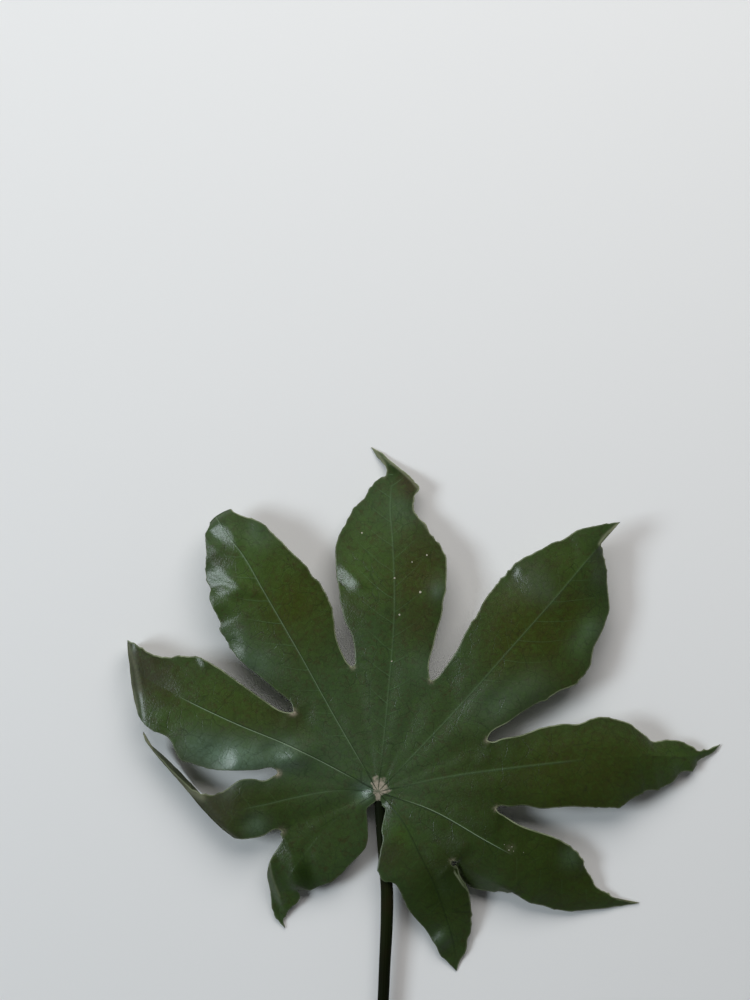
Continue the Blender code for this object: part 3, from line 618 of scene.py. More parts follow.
def distance_to_line(points, line):
    """Distance from each point to a chain of points, all seen from above."""
    line = np.array(line, float)
    nearest = np.full(len(points), np.inf)
    for a, b in zip(line, line[1:]):
        run = b - a
        share = np.clip((points - a) @ run / max(run @ run, 1e-9), 0.0, 1.0)
        nearest = np.minimum(nearest, np.linalg.norm(points - a - share[:, None] * run, axis=1))
    return nearest


def ripples(points, size, length, seed):
    """Height of gentle, irregular waves about one length apart."""
    total = np.zeros(len(points))
    for n in range(WAVES):
        angle = WAVE_TURN * n + seed
        stretch = length * (SHORTEST_WAVE + WAVE_STRETCH * n)
        reach = points[:, 0] * math.cos(angle) + points[:, 1] * math.sin(angle)
        total += np.sin(2.0 * math.pi * reach / stretch + WAVE_SHIFT * n * seed)
    return size * total / math.sqrt(WAVES)


def relief(points):
    """Height of the folds, bulges and dents, and of the sheet's slight unevenness."""
    height = sum(ripples(points, *values) for values in RIPPLES)
    for line, size, width in FOLDS:
        height += size * bell(distance_to_line(points, line), width)
    for x, y, size, half_x, half_y in BULGES:
        height += size * bell(points[:, 0] - x, half_x) * bell(points[:, 1] - y, half_y)
    return height


def leant(points):
    """How far the points sink where the sheet leans."""
    sunk = np.zeros(len(points))
    for x, y, axis, half_length, half_width, compass, slope in FACETS:
        apart = points - (x, y)
        lengthwise = apart @ towards(axis) / half_length
        crosswise = apart @ towards(axis + 90.0) / half_width
        sunk += slope * (apart @ towards(compass)) * bell(lengthwise**2 + crosswise**2, FACET_REACH)
    return sunk


def rolled(points, roll):
    """The points after the sheet beyond the roll's line has been wound round a cylinder under it."""
    start, compass, height, radius, largest = roll
    outward = towards(compass)
    distance = np.maximum((points[:, :2] - np.array(start)) @ outward, 0.0)
    angle = np.minimum(distance / radius, math.radians(largest))
    straight = distance - radius * angle
    lift = points[:, 2] - height
    reach = (radius + lift) * np.sin(angle) + straight * np.cos(angle)
    drop = radius * (1.0 - np.cos(angle)) + straight * np.sin(angle) - lift * (np.cos(angle) - 1.0)
    moved = points.copy()
    moved[:, :2] += outward * (reach - distance)[:, None]
    moved[:, 2] -= drop
    return np.where((distance > 0.0)[:, None], moved, points)


def half_lobe(lobe, ribs, edges, shares, rows, joined, side, length):
    """One half of a lobe as rows of points, and what its finish needs to know at each point."""
    widths = np.linalg.norm((edges - ribs)[:, :2], axis=1)
    across = column_shares(widths)
    free = smoothstep((shares * rows - joined) * ROW_STEP / FREE_BLEND)[:, None]
    grid = ribs[:, None, :] + (edges - ribs)[:, None, :] * across[:, :, None]
    level = smoothstep(across) * (1.0 - free) + across * free
    puff = np.sin(math.pi * across) ** 2 * (1.0 - free) + 4.0 * across * (1.0 - across) * free
    grid[:, :, 2] = ribs[:, 2:] + (edges - ribs)[:, 2:] * level + PUFF * widths[:, None] * puff

    off_rib = across * widths[:, None]
    along = shares[:, None] * length + 0.0 * off_rib
    phase = (along - SIDE_SLANT * off_rib - SIDE_BEND * off_rib**2) / SIDE_SPACING + 0.5 * (side > 0)
    inner = np.sin(math.pi * np.clip(across, 0.0, 1.0)) ** QUILT_POWER * smoothstep(along / QUILT_RISE)
    quilt = QUILT_HEIGHT * (0.5 - 0.5 * np.cos(2.0 * math.pi * phase)) * inner
    line, band, end, *by_margin = VEINS[lobe["name"]]
    side_veins, rim = by_margin[0::2] if side > 0 else by_margin[1::2]
    vein_reach = 1.0 - smoothstep((along / length - end) / VEIN_FADE)
    fine_line = LINE_HEIGHT * bell(off_rib, LINE_WIDTH) * vein_reach
    fine_line *= LINE_LEAST + (1.0 - LINE_LEAST) * abs(line)
    fine_line *= smoothstep((along - LINE_START) / LINE_RISE)
    valley = VALLEY_DEPTH * bell(off_rib, VALLEY_WIDTH) * smoothstep((along - VALLEY_START) / VALLEY_RISE)
    valley *= 1.0 - smoothstep((along / length - VALLEY_END) / (1.0 - VALLEY_END))
    grid[:, :, 2] += quilt + fine_line - valley

    flat = grid.reshape(-1, 3)
    flat[:, 2] += relief(flat[:, :2]) - leant(flat[:, :2])
    plan = flat[:, :2].copy()
    if lobe["name"] in ROLLS:
        flat = rolled(flat, ROLLS[lobe["name"]])
    return {
        "points": flat.reshape(grid.shape),
        "plan": plan.reshape(grid.shape[:2] + (2,)),
        "across": off_rib * side,
        "phase": phase,
        "share": across,
        "tip": along / length,
        "vein": line * vein_reach,
        "band": band * vein_reach,
        "ribbed": np.full(along.shape, side_veins),
        "rim": np.full(along.shape, rim),
    }


def lobe_halves(index, pairs):
    """The two halves of a lobe, each with the number of rows that it shares with its neighbour."""
    lobe = LOBES[index]
    following = (index + 1) % len(LOBES)
    sides = [
        (joined_rows(NOTCHES[index]), pairs[index][1], 1.0),
        (joined_rows(NOTCHES[following]), pairs[following][0], -1.0),
    ]
    centre = np.array(JUNCTION)
    rib_line = smooth_line(np.vstack((centre, np.array(lobe["rib"], float))))
    length = lengths_along(rib_line)[-1]
    rows = round(length / ROW_STEP)
    shares = np.arange(rows + 1) / rows
    ribs = points_along(rib_line, shares)
    halves = []
    for joined, margin, side in sides:
        seam = centre + (margin[0] - centre) * (np.arange(joined) / joined)[:, None]
        start = joined / rows
        edges = np.vstack((seam, points_along(margin, (shares[joined:] - start) / (1.0 - start))))
        half = half_lobe(lobe, ribs, edges, shares, rows, joined, side, length)
        half["joined"] = joined
        halves.append(half)
    return halves


class Sheet:
    """Collects the blade's upper side: points that neighbours share, faces, and values at their corners."""

    def __init__(self):
        self.points = []
        self.plan = []
        self.count = 0
        self.faces = []
        names = ("across", "phase", "share", "tip", "vein", "band", "ribbed", "rim")
        self.values = {name: [] for name in names}
        self.borders = []

    def add(self, half, rows, columns):
        """Adds these rows and columns of half a lobe, and hands back the numbers of their points."""
        points = half["points"][rows, columns]
        numbers = self.count + np.arange(points.size // 3).reshape(points.shape[:-1])
        self.points.append(points.reshape(-1, 3))
        self.plan.append(half["plan"][rows, columns].reshape(-1, 2))
        self.count += numbers.size
        return numbers


def blade_sheet():
    """The upper side of the blade, with its borders as chains of point numbers."""
    sheet = Sheet()
    pairs = margins()
    lobes = [lobe_halves(i, pairs) for i in range(len(LOBES))]
    junction = sheet.add(lobes[0][0], 0, slice(1))
    seams = [sheet.add(half, slice(1, half["joined"] + 1), -1) for half, _ in lobes]
    for i, halves in enumerate(lobes):
        rib = sheet.add(halves[0], slice(1, None), 0)
        for which, half in enumerate(halves):
            joined = half["joined"]
            numbers = np.empty((len(rib) + 1, COLUMNS + 1), int)
            numbers[0] = junction
            numbers[1:, 0] = rib
            numbers[-1] = rib[-1]
            numbers[1 : joined + 1, -1] = seams[(i + which) % len(LOBES)]
            numbers[1:-1, 1:-1] = sheet.add(half, slice(1, -1), slice(1, -1))
            free = slice(joined + 1, len(rib))
            numbers[free, -1] = sheet.add(half, free, -1)
            add_faces(sheet, numbers, half, flip=which == 1)
            border = numbers[joined:, -1]
            sheet.borders.append(border if which == 0 else border[::-1])
    return sheet


def add_faces(sheet, numbers, half, flip):
    """Faces between the rows of one half of a lobe, with triangles at the junction and at the tip."""
    corners = [(0, 0), (1, 0), (1, 1), (0, 1)]
    if flip:
        corners = corners[::-1]
    rows, columns = numbers.shape
    blocks = [
        (np.arange(1, rows - 2), corners),
        (np.array([0]), [c for c in corners if c != (0, 1)]),
        (np.array([rows - 2]), [c for c in corners if c != (1, 1)]),
    ]
    for k_values, shape in blocks:
        k, c = (v.ravel() for v in np.meshgrid(k_values, np.arange(columns - 1), indexing="ij"))
        sheet.faces.append(np.stack([numbers[k + dk, c + dc] for dk, dc in shape], axis=1))
        for name, values in sheet.values.items():
            values.append(np.stack([half[name][k + dk, c + dc] for dk, dc in shape], axis=1))


def vertex_normals(points, faces):
    normals = np.zeros_like(points)
    for block in faces:
        a, b, c = (points[block[:, n]] for n in range(3))
        d = points[block[:, -1]]
        face_normals = np.cross(c - a, d - b) if block.shape[1] == 4 else np.cross(b - a, c - a)
        for n in range(block.shape[1]):
            np.add.at(normals, block[:, n], face_normals)
    return unit(normals)


def in_place(points):
    """Points measured from the vein junction, in the leaf's own frame and in metres."""
    return (points + np.array((*JUNCTION_OFFSET, 0.0))) * MM


def linked(thing):
    """The object, put into the scene."""
    bpy.context.scene.collection.objects.link(thing)
    return thing


def object_from_blocks(name, points, blocks, materials):
    """An object from blocks of equal-sided faces. blocks holds (faces, {name: values}, material number)."""
    mesh = bpy.data.meshes.new(name)
    corner_counts = np.concatenate([np.full(len(f), f.shape[1]) for f, _, _ in blocks])
    corners = np.concatenate([f.ravel() for f, _, _ in blocks])
    mesh.vertices.add(len(points))
    mesh.vertices.foreach_set("co", in_place(points).astype(np.float32).ravel())
    mesh.loops.add(len(corners))
    mesh.loops.foreach_set("vertex_index", corners.astype(np.int32))
    mesh.polygons.add(len(corner_counts))
    starts = np.concatenate(([0], np.cumsum(corner_counts)[:-1]))
    mesh.polygons.foreach_set("loop_start", starts.astype(np.int32))
    numbers = np.concatenate([np.full(len(f), number) for f, _, number in blocks])
    mesh.polygons.foreach_set("material_index", numbers.astype(np.int32))
    for key in blocks[0][1]:
        layer = mesh.attributes.new(key, "FLOAT", "CORNER")
        values = np.concatenate([v[key].ravel() for _, v, _ in blocks])
        layer.data.foreach_set("value", values.astype(np.float32))
    for material in materials:
        mesh.materials.append(material)
    mesh.update()
    mesh.validate()
    mesh.shade_smooth()
    return linked(bpy.data.objects.new(name, mesh))


def tint_values(plan):
    """Shares of olive, lighter green and painted light, brown, painted shade and painted sheen at each
    point.
    """
    shares = np.zeros((len(TINT_KINDS), len(plan)))
    for x, y, radius, *amounts in TINTS:
        shares += np.outer(amounts, bell(np.linalg.norm(plan - (x, y), axis=1), radius))
    return dict(zip(TINT_KINDS, shares))


def wear_highlight_and_scar_values(points):
    """How pale each point is from fold wear and a painted highlight on one fold, and how scarred at the
    scars.
    """
    worn = np.zeros(len(points))
    for line, width, strength in WEAR_AND_PAINTED_HIGHLIGHT:
        distance = distance_to_line(points, line)
        worn = np.maximum(worn, strength * bell(distance, width))
    scar = np.zeros(len(points))
    for x, y, radius, strength in SCARS:
        distance = np.linalg.norm(points - (x, y), axis=1)
        scar = np.maximum(scar, strength * bell(distance, radius))
    return {"worn": worn, "scar": scar}


def star_limits(places):
    """How far the pale patch reaches in the direction of each place."""
    compass = np.degrees(np.arctan2(places[:, 1], places[:, 0]))
    directions, limits = zip(*STAR)
    compass = np.where(compass < directions[0], compass + 360.0, compass)
    return np.interp(compass, directions, limits)


def margin_distance(sheet, plan):
    """Distance from each point of the flat blade to its nearest margin."""
    nearest = np.full(len(plan), np.inf)
    for border in sheet.borders:
        chain = plan[border]
        near = np.linalg.norm(plan - chain.mean(axis=0), axis=1) < MARGIN_SEARCH
        nearest[near] = np.minimum(nearest[near], distance_to_line(plan[near], chain))
    return nearest


def sheet_thickness(sheet, edge_distance, from_junction):
    """Thickness at each point: less at the rim, more along the main veins and at their junction."""
    rib_distance = np.full(sheet.count, np.inf)
    rib_tip = np.ones(sheet.count)
    for faces, across, tip in zip(sheet.faces, sheet.values["across"], sheet.values["tip"]):
        np.minimum.at(rib_distance, faces.ravel(), np.abs(across).ravel())
        np.minimum.at(rib_tip, faces.ravel(), tip.ravel())
    to_tip = 1.0 - rib_tip
    ridge_width = RIDGE_WIDTHS[0] + (RIDGE_WIDTHS[1] - RIDGE_WIDTHS[0]) * to_tip
    ridge = RIDGE_HEIGHT * to_tip**RIDGE_POWER * bell(rib_distance, ridge_width)
    swell = SWELL_HEIGHT * (1.0 - smoothstep(from_junction / SWELL_RADIUS))
    thickness = RIM_THICKNESS + (BLADE_THICKNESS - RIM_THICKNESS) * smoothstep(edge_distance / RIM_TAPER)
    return thickness + np.maximum(ridge, swell) * smoothstep(edge_distance / RIDGE_TAPER)


def rim_points(sheet, border, top, bottom, normals):
    """A point beside each border point, halfway down and pushed out of the blade."""
    inward = np.zeros_like(top)
    for faces in sheet.faces:
        middle = top[faces].mean(axis=1)
        for n in range(faces.shape[1]):
            np.add.at(inward, faces[:, n], middle - top[faces[:, n]])
    rims = np.empty((len(border), 3))
    for n, number in enumerate(border):
        way = unit(inward[number] - normals[number] * (inward[number] @ normals[number]))
        rims[n] = (top[number] + bottom[number]) / 2.0 - way * RIM_BULGE
    rims[:, 2] = np.maximum(rims[:, 2], RIM_CLEARANCE)
    return rims


def blade_object(materials):
    """The blade: its upper side, its underside and the rounded rim between them."""
    sheet = blade_sheet()
    count = sheet.count
    top, plan = np.vstack(sheet.points), np.vstack(sheet.plan)
    top[:, 2] = np.maximum(top[:, 2], BLADE_THICKNESS + TOP_CLEARANCE)
    normals = vertex_normals(top, sheet.faces)
    edge_distance = margin_distance(sheet, plan)
    from_junction = np.linalg.norm(plan - JUNCTION[:2], axis=1)
    bottom = top - normals * sheet_thickness(sheet, edge_distance, from_junction)[:, None]
    bottom[:, 2] = np.maximum(bottom[:, 2], CLEARANCE)

    star = from_junction / star_limits(plan - JUNCTION[:2])
    vertex_values = {"edge": edge_distance, "radius": from_junction, "star": star}
    vertex_values.update(tint_values(plan))
    vertex_values.update(wear_highlight_and_scar_values(top[:, :2]))
    blocks = []
    for n, faces in enumerate(sheet.faces):
        values = {name: blocks_of[n] for name, blocks_of in sheet.values.items()}
        values.update({name: v[faces] for name, v in vertex_values.items()})
        blocks.append((faces, values, 0))
    for faces, values, _ in list(blocks):
        blocks.append((faces[:, ::-1] + count, {k: v[:, ::-1] for k, v in values.items()}, 1))

    border = np.unique(np.concatenate(sheet.borders))
    rims = rim_points(sheet, border, top, bottom, normals)
    rim_number = {number: 2 * count + n for n, number in enumerate(border)}
    strips = []
    for chain in sheet.borders:
        for a, b in zip(chain, chain[1:]):
            strips.append((a, b, rim_number[b], rim_number[a]))
            strips.append((rim_number[a], rim_number[b], b + count, a + count))
    strips = np.array(strips)
    plain = {name: np.full(strips.shape, RIM_VALUES.get(name, 0.0)) for name in blocks[0][1]}
    blocks.append((strips, plain, 0))
    return object_from_blocks("leaf_blade", np.vstack((top, bottom, rims)), blocks, materials)


def stalk_object(material):
    """The stalk: a ridged tube, rounded in under the blade and cut at its foot."""
    line = smooth_line(np.array(STALK))
    reach = lengths_along(line[:, :3])
    count = round(reach[-1] / STALK_STEP)
    wanted = np.linspace(0.0, reach[-1], count + 1)
    places = picked(line, reach, wanted)
    centres, radii = places[:, :3], places[:, 3]
    ahead = unit(np.gradient(centres, axis=0))
    side = unit(np.cross(ahead, (0.0, 0.0, 1.0)))
    up = np.cross(side, ahead)
    sides = np.arange(STALK_SIDES)
    turn = 2.0 * math.pi * sides / STALK_SIDES
    ridges = sum(share * np.cos(number * turn + start) for number, share, start in STALK_RIDGES)
    rings = []
    for centre, radius, s, u in zip(centres, radii, side, up):
        around = np.outer(np.cos(turn), s) + np.outer(np.sin(turn), u)
        rings.append(centre + around * (radius + STALK_RIDGE_HEIGHT * ridges)[:, None])

    def drawn_in(end, share, onward):
        """The ring at one end at a share of its size, moved on along the stalk."""
        return centres[end] + (rings[end] - centres[end]) * share + ahead[end] * onward

    head = [drawn_in(0, share, HEAD_DOME * (share - 1.0)) for share in STALK_CAP[::-1]]
    foot = [drawn_in(-1, share, CUT_EDGE - CUT_DEPTH * (1.0 - share)) for share in STALK_CAP]
    rings = head + rings + foot
    points = np.vstack(rings)
    points[:, 2] = np.maximum(points[:, 2], CLEARANCE)

    last = len(rings) - 1
    ring, n = (v.ravel() for v in np.meshgrid(np.arange(last), sides, indexing="ij"))
    after = (n + 1) % STALK_SIDES
    rings_of = np.stack((ring + 1, ring + 1, ring, ring), axis=1)
    faces = rings_of * STALK_SIDES + np.stack((n, after, after, n), axis=1)
    ring_reach = np.concatenate((np.zeros(len(head)), wanted, np.full(len(foot), reach[-1])))
    cut = np.concatenate((np.zeros(len(head) + count + 1), np.ones(len(foot))))
    ends = np.stack((sides, last * STALK_SIDES + sides[::-1]))
    end_values = {"along": np.zeros(ends.shape), "cut": np.array([[0.0], [1.0]]) + np.zeros(ends.shape)}
    blocks = [(faces, {"along": ring_reach[rings_of], "cut": cut[rings_of]}, 0), (ends, end_values, 0)]
    return object_from_blocks("leaf_stalk", points, blocks, [material])


class Nodes:
    """Adds nodes to a material or to the world, and hands back their output sockets."""

    def __init__(self, owner, surface="Principled BSDF", where="Object"):
        owner.use_nodes = True
        self.owner = owner
        self.tree = owner.node_tree
        self.surface = self.tree.nodes[surface]
        self.where = self.node("TexCoord").outputs[where]

    def plug(self, socket, value):
        if isinstance(value, bpy.types.NodeSocket):
            self.tree.links.new(value, socket)
        elif hasattr(socket.default_value, "__len__") and not hasattr(value, "__len__"):
            socket.default_value = (value,) * len(socket.default_value)
        elif hasattr(value, "__len__") and len(value) == 3 and len(socket.default_value) == 4:
            socket.default_value = (*value, 1.0)
        else:
            socket.default_value = value

    def node(self, kind, sockets=(), **settings):
        """A new node with these settings, and these values or links at its input sockets."""
        node = self.tree.nodes.new("ShaderNode" + kind)
        for key, value in settings.items():
            setattr(node, key, value)
        for key, value in dict(sockets).items():
            self.plug(node.inputs[key], value)
        return node

    def attribute(self, name):
        return self.node("Attribute", attribute_name=name).outputs["Fac"]

    def math(self, operation, result, *others):
        """The operation on one value alone, or on it and each other value in turn."""
        for other in others or (0.0,):
            result = self.node("Math", {0: result, 1: other}, operation=operation).outputs[0]
        return result

    def add(self, *terms):
        return self.math("ADD", *terms)

    def times(self, *factors):
        return self.math("MULTIPLY", *factors)

    def largest(self, *values):
        return self.math("MAXIMUM", *values)

    def size(self, value):
        return self.math("ABSOLUTE", value)

    def swing(self, noise, size, middle=0.5):
        """size times how far the noise lies above its middle."""
        return self.times(self.math("SUBTRACT", noise, middle), size)

    def fade(self, value, start, end, low=0.0, high=1.0):
        """low up to start, high from end, and a smooth step between."""
        sockets = enumerate((value, start, end, low, high))
        return self.node("MapRange", sockets, interpolation_type="SMOOTHSTEP").outputs[0]

    def within(self, value, start, end):
        """1 up to start, 0 from end, and a smooth step between."""
        return self.fade(value, start, end, 1.0, 0.0)

    def noise(self, scale, detail=3.0, roughness=0.5, distortion=0.0, where=None):
        """Noise between about 0 and 1. scale is in features for each metre."""
        sockets = {"Vector": where or self.where, "Scale": scale, "Detail": detail,
                   "Roughness": roughness, "Distortion": distortion}
        return self.node("TexNoise", sockets).outputs["Fac"]

    def cells(self, scale, feature="DISTANCE_TO_EDGE", where=None):
        sockets = {"Vector": where or self.where, "Scale": scale}
        return self.node("TexVoronoi", sockets, feature=feature).outputs["Distance"]

    def stretched(self, sizes):
        return self.node("VectorMath", {0: self.where, 1: sizes}, operation="MULTIPLY").outputs[0]

    def warped(self, scale, amount):
        """The place, moved about by noise."""
        shift = self.node("TexNoise", {"Vector": self.where, "Scale": scale}).outputs["Color"]
        sockets = {0: shift, 1: amount, 2: self.where}
        return self.node("VectorMath", sockets, operation="MULTIPLY_ADD").outputs[0]

    def mix(self, share, a, b, blend="MIX"):
        settings = {"data_type": "RGBA", "blend_type": blend, "clamp_factor": True}
        return self.node("Mix", {"Factor": share, 6: a, 7: b}, **settings).outputs[2]

    def layered(self, colour, layers):
        """The colour under the layers, each a mask, how much of it counts, and a colour."""
        for mask, most, layer in layers:
            colour = self.mix(self.times(mask, most), colour, layer)
        return colour

    def finish(self, colour, roughness, height):
        """Completes the material. height is that of its bumps, in millimetres."""
        bump = self.node("Bump", {"Strength": 1.0, "Distance": MM, "Height": height}).outputs[0]
        for name, value in (("Base Color", colour), ("Roughness", roughness), ("Normal", bump)):
            self.plug(self.surface.inputs[name], value)
        return self.owner


def side_vein_distance(s, phase):
    """Distance in millimetres to the nearest side vein, below zero on its lower side."""
    part = s.math("SUBTRACT", s.math("FRACT", s.add(phase, 0.5)), 0.5)
    return s.times(part, SIDE_SPACING * SIDE_SHARE)


def speck_mask(s):
    """1 on the pale specks."""
    flat = s.stretched((1.0, 1.0, 0.0))
    mask = 0.0
    for x, y, radius in SPECKS:
        middle = ((x + JUNCTION_OFFSET[0]) * MM, (y + JUNCTION_OFFSET[1]) * MM, 0.0)
        distance = s.node("VectorMath", {0: flat, 1: middle}, operation="DISTANCE").outputs["Value"]
        mask = s.largest(mask, s.within(distance, radius * 0.6 * MM, radius * MM))
    return mask


def upper_material():
    """Deep, leathery olive-cast green, fine veins, pale rim, beige junction, and painted shade, sheen and
    light.

    Limits of edge, side, across, radius and to_vein are in millimetres, and so are the bumps' heights.
    """
    s = Nodes(bpy.data.materials.new("leaf_upper"))
    side, edge, radius, vein, band = map(s.attribute, ("across", "edge", "radius", "vein", "band"))
    brown, painted_shade_share, rim, worn = map(s.attribute, ("brown", "shade", "rim", "worn"))
    across = s.size(side)
    broad = s.noise(22.0, 3.0, 0.5, 0.3)
    clouds = s.noise(70.0, 4.0, 0.55, 0.5)
    patches = s.noise(210.0, 4.0, 0.6, 0.3)
    mottle = s.noise(900.0, 3.0, 0.6)
    fine = s.noise(420.0, 4.0, 0.6, 0.8)

    # Random tone, and painted shade that darkens the blade towards its margins
    shade = s.add(0.70, s.times(clouds, 0.20), s.times(patches, 0.24), s.times(mottle, 0.34))
    shade = s.add(shade, s.fade(edge, 0.5, 7.0, -0.11, 0.0))
    colour = s.layered(DEEP, (
        (s.add(s.attribute("olive"), s.swing(broad, 1.0)), 1.0, OLIVE),
        # Lighter green, partly painted light on lit faces
        (s.add(s.attribute("bright"), s.swing(clouds, 0.9)), 1.0, BRIGHT),
        (s.add(brown, s.swing(patches, 0.5)), 1.0, BROWN),
        (s.swing(fine, 3.2), 1.0, BROWN),
        (s.swing(fine, -3.0, 0.48), 1.0, BRIGHT),
        # Painted shade where the tints ask for it
        (painted_shade_share, 0.8, PAINTED_SHADE),
        # Painted sheen where the blade would mirror the light
        (s.attribute("bloom"), s.fade(fine, 0.3, 0.7, 0.75, 1.15), PAINTED_SHEEN),
    ))
    colour = s.mix(1.0, colour, shade, "MULTIPLY")

    # Side veins with a painted shadow beside them, the net of fine veins, and creases with painted shade
    to_vein = side_vein_distance(s, s.add(s.attribute("phase"), s.swing(s.noise(55.0, 2.0), 0.3)))
    reach = s.times(s.within(s.attribute("share"), 0.15, 0.8), s.attribute("ribbed"))
    reach = s.times(reach, s.fade(broad, 0.35, 0.6, 0.4, 1.0))
    side_vein = s.times(s.within(s.size(to_vein), 0.05, 0.28), reach)
    # Painted shadow along the lower side of each side vein
    beside = s.times(s.within(s.size(s.add(to_vein, 0.35)), 0.08, 0.4), reach)
    net = s.within(s.cells(330.0, where=s.warped(150.0, 0.003)), 0.015, 0.06)
    net = s.times(net, s.fade(patches, 0.3, 0.6))
    # Creases, with painted shade in them
    creases = s.within(s.cells(135.0, where=s.warped(60.0, 0.010)), 0.006, 0.034)
    creases = s.times(creases, s.fade(clouds, 0.42, 0.6))

    # The main veins, and the pale patch and the dark rays where they meet
    core = s.within(across, 0.05, 0.24)
    # Painted shadow along one side of each main vein
    main_vein_painted_shadow = s.within(s.size(s.add(side, 0.38)), 0.10, 0.40)
    away = s.fade(radius, 7.0, 24.0)
    frayed = s.add(s.attribute("star"), s.swing(s.noise(600.0, 4.0, 0.6), 1.2))
    star = s.times(s.within(frayed, 0.65, 1.15), s.fade(across, 0.1, 0.3, 0.3, 1.0))
    rays = s.times(s.within(across, 0.08, 0.26), s.fade(radius, 1.0, 3.0), s.within(radius, 6.0, 13.0))

    # Wear, a painted highlight on one fold, and the colours of all these on the pigments
    scars = s.times(s.attribute("scar"), s.fade(s.noise(800.0, 3.0), 0.3, 0.6, 0.3, 1.0))
    worn = s.times(worn, s.fade(patches, 0.2, 0.7, 0.6, 1.0))
    rim = s.times(rim, s.within(edge, 0.22, 0.55), s.fade(s.noise(130.0, 3.0), 0.35, 0.6, 0.4, 1.0))
    speck = speck_mask(s)
    colour = s.layered(colour, (
        # Painted shadow beside each side vein
        (beside, 0.2, DARK),
        (side_vein, 0.72, VEIN),
        (net, 0.26, DARK),
        # Painted shade in the creases
        (creases, 0.30, DARK),
        (s.times(s.within(across, 0.2, 0.85), band, away), 0.6, VEIN),
        # Painted shadow beside each main vein
        (s.times(main_vein_painted_shadow, s.add(s.size(vein), band)), 0.45, DARK),
        (s.times(core, s.largest(vein, 0.0), away), 0.85, PALE),
        (s.times(core, s.largest(s.times(vein, -1.0), 0.0)), 0.9, DARK),
        (star, 0.9, s.mix(mottle, BEIGE, WORN)),
        (rays, 0.75, DARK),
        (scars, 1.0, BEIGE),
        # Pale wear along folds, and the painted highlight on basal_left's fold
        (worn, 1.0, s.mix(mottle, WORN, RIM)),
        (rim, 1.0, RIM),
        (speck, 1.0, SPECK),
    ))

    height = s.add(
        s.times(s.cells(1300.0, "SMOOTH_F1"), 0.04),
        s.times(s.noise(560.0, 2.0, 0.5, 0.6), s.fade(edge, 2.0, 14.0, 1.0, 0.35), 0.05),
        s.times(s.noise(1400.0, 3.0, 0.6, 0.6), 0.065),
        s.times(s.noise(3000.0, 2.0), 0.010),
        s.times(side_vein, 0.02),
        s.times(beside, -0.01),
        s.times(net, -0.015),
        s.times(creases, -0.03),
        s.times(speck, 0.2),
    )
    dull = s.largest(rim, star, worn)
    roughness = s.add(0.24, s.times(patches, 0.10), s.times(mottle, 0.06), s.times(dull, 0.4))
    roughness = s.add(roughness, s.fade(brown, 0.3, 0.9, 0.0, 0.25))
    slant = s.node("LayerWeight").outputs["Facing"]
    gloss = s.times(s.fade(slant, 0.35, 0.7, 0.5, 0.0), s.fade(painted_shade_share, 0.1, 1.0, 1.0, 0.6))
    s.plug(s.surface.inputs["Specular IOR Level"], gloss)
    return s.finish(colour, roughness, height)


def under_material():
    """Paler, matt green with raised yellowish veins."""
    s = Nodes(bpy.data.materials.new("leaf_under"))
    mottle = s.noise(900.0, 4.0)
    to_side_vein = s.size(side_vein_distance(s, s.attribute("phase")))
    side_vein = s.times(s.within(to_side_vein, 0.2, 0.6), s.within(s.attribute("share"), 0.7, 1.0))
    main_vein = s.within(s.size(s.attribute("across")), 0.5, 1.3)
    net = s.within(s.cells(330.0, where=s.warped(150.0, 0.003)), 0.02, 0.09)
    veins = s.largest(side_vein, main_vein, s.times(net, 0.35))
    colour = s.mix(s.noise(60.0, 4.0), UNDER_DARK, UNDER_PALE)
    colour = s.mix(1.0, colour, s.add(0.75, s.times(mottle, 0.45)), "MULTIPLY")
    # Veins, and pale wear along folds with the painted highlight on one fold
    colour = s.layered(colour, ((veins, 0.6, UNDER_VEIN), (s.attribute("worn"), 0.6, WORN)))
    height = s.add(s.times(side_vein, 0.25), s.times(net, 0.05), s.times(s.noise(1500.0, 4.0), 0.04))
    return s.finish(colour, s.add(0.55, s.times(mottle, 0.15)), height)


def stalk_material():
    """Dark green with long streaks, painted shade near black under the blade, and a pale fibrous cut."""
    s = Nodes(bpy.data.materials.new("leaf_stalk"))
    along, cut = s.attribute("along"), s.attribute("cut")
    streaks = s.noise(900.0, 4.0, where=s.stretched((1.0, 0.03, 1.0)))
    blotches = s.noise(120.0, 4.0)
    fibres = s.cells(1600.0, "F1")
    colour = s.layered(s.mix(streaks, STREAK_DARK, STREAK_PALE), (
        (s.fade(blotches, 0.45, 0.75), 1.0, STALK_BROWN),
        # Painted shade: nearly black where the blade shades the stalk
        (s.fade(along, 5.0, 45.0, 0.8, 0.0), 1.0, STALK_PAINTED_SHADE),
        (s.fade(along, 55.0, 85.0, 0.0, 0.7), 1.0, STALK_LOW),
        (cut, 1.0, s.mix(fibres, FIBRE_DARK, FIBRE_PALE)),
    ))
    height = s.add(s.times(streaks, 0.12), s.times(blotches, 0.05), s.times(fibres, cut, 0.3))
    roughness = s.add(0.62, s.times(blotches, 0.2), s.times(cut, 0.1))
    s.surface.inputs["Specular IOR Level"].default_value = STALK_GLOSS
    return s.finish(colour, roughness, height)


def floor_material():
    """Plain pale matt paper."""
    s = Nodes(bpy.data.materials.new("floor"))
    tone = s.add(0.99, s.times(s.noise(3.0, 2.0), 0.02))
    colour = s.mix(1.0, PAPER, tone, "MULTIPLY")
    return s.finish(colour, 0.95, s.times(s.noise(2000.0), 0.01))


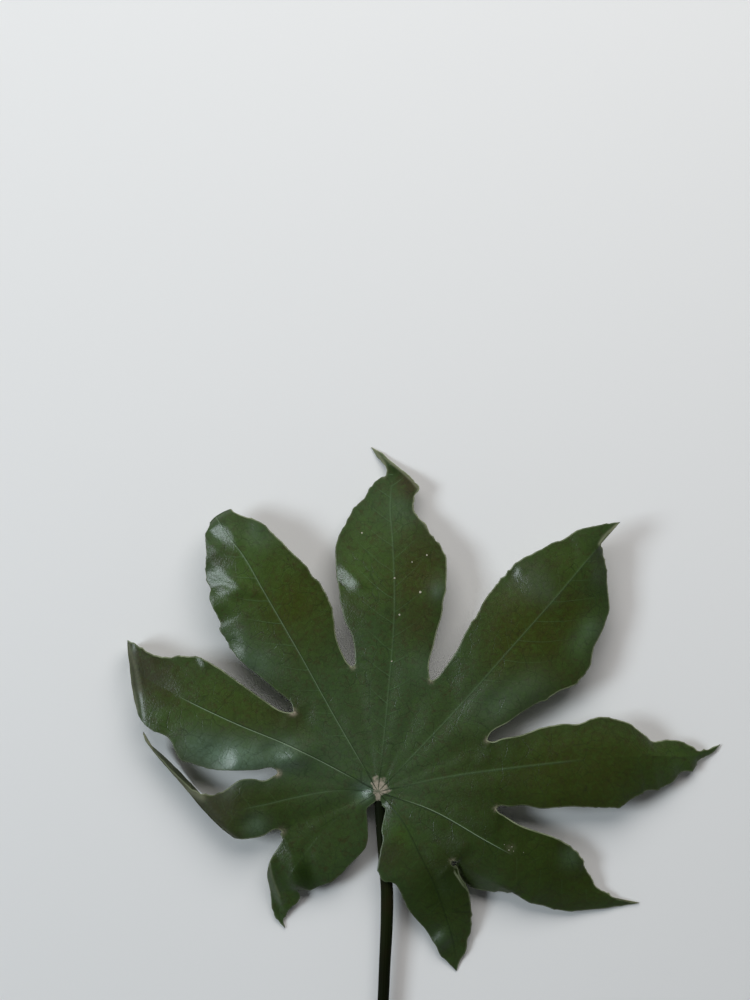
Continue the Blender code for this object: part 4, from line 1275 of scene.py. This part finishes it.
def add_floor():
    bpy.ops.mesh.primitive_grid_add(x_subdivisions=FLOOR_STEPS, y_subdivisions=FLOOR_STEPS, size=FLOOR_SIZE)
    floor = bpy.context.object
    floor.name = "floor"
    floor.data.materials.append(floor_material())


def add_camera():
    """Looks straight down, with the vein junction where the photo has it."""
    camera = bpy.data.cameras.new("camera")
    camera.lens = camera.sensor_width * (CAMERA_DISTANCE - LEAF_LEVEL) / VIEW_HEIGHT
    camera.clip_end = FAR_LIMIT
    holder = linked(bpy.data.objects.new("camera", camera))
    x = (JUNCTION_OFFSET[0] + VIEW_MIDDLE[0]) * MM
    y = (JUNCTION_OFFSET[1] + VIEW_MIDDLE[1]) * MM
    holder.location = (x, y, CAMERA_DISTANCE)
    bpy.context.scene.camera = holder


def add_light(name, place, size, power, colour, mirrored):
    """A soft rectangular light that faces the leaf's middle."""
    light = bpy.data.lights.new(name, "AREA")
    light.shape = "RECTANGLE"
    light.size, light.size_y = size
    light.energy = power
    light.color = colour
    holder = linked(bpy.data.objects.new(name, light))
    holder.location = place
    way = np.array(place) - np.array(LEAF_MIDDLE)
    flat = math.hypot(way[0], way[1])
    holder.rotation_euler = (math.atan2(flat, way[2]), 0.0, math.atan2(way[1], way[0]) + math.pi / 2.0)
    holder.visible_camera = False
    holder.visible_glossy = mirrored


def add_world():
    """A pale band round the horizon under a dark ceiling."""
    world = bpy.data.worlds.new("studio")
    bpy.context.scene.world = world
    s = Nodes(world, "Background", "Generated")
    height = s.node("SeparateXYZ", {0: s.where}).outputs["Z"]
    s.plug(s.surface.inputs["Strength"], s.fade(height, *BAND_HEIGHTS, *BAND_STRENGTHS))
    s.plug(s.surface.inputs["Color"], BAND_COLOUR)


add_camera()
add_world()
add_floor()
for light in LIGHTS:
    add_light(*light)
blade = blade_object([upper_material(), under_material()])
stalk = stalk_object(stalk_material())
for piece in (blade, stalk):
    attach(piece, "root")
    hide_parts("aralia_leaf")

bpy.context.scene.view_settings.view_transform = "Standard"
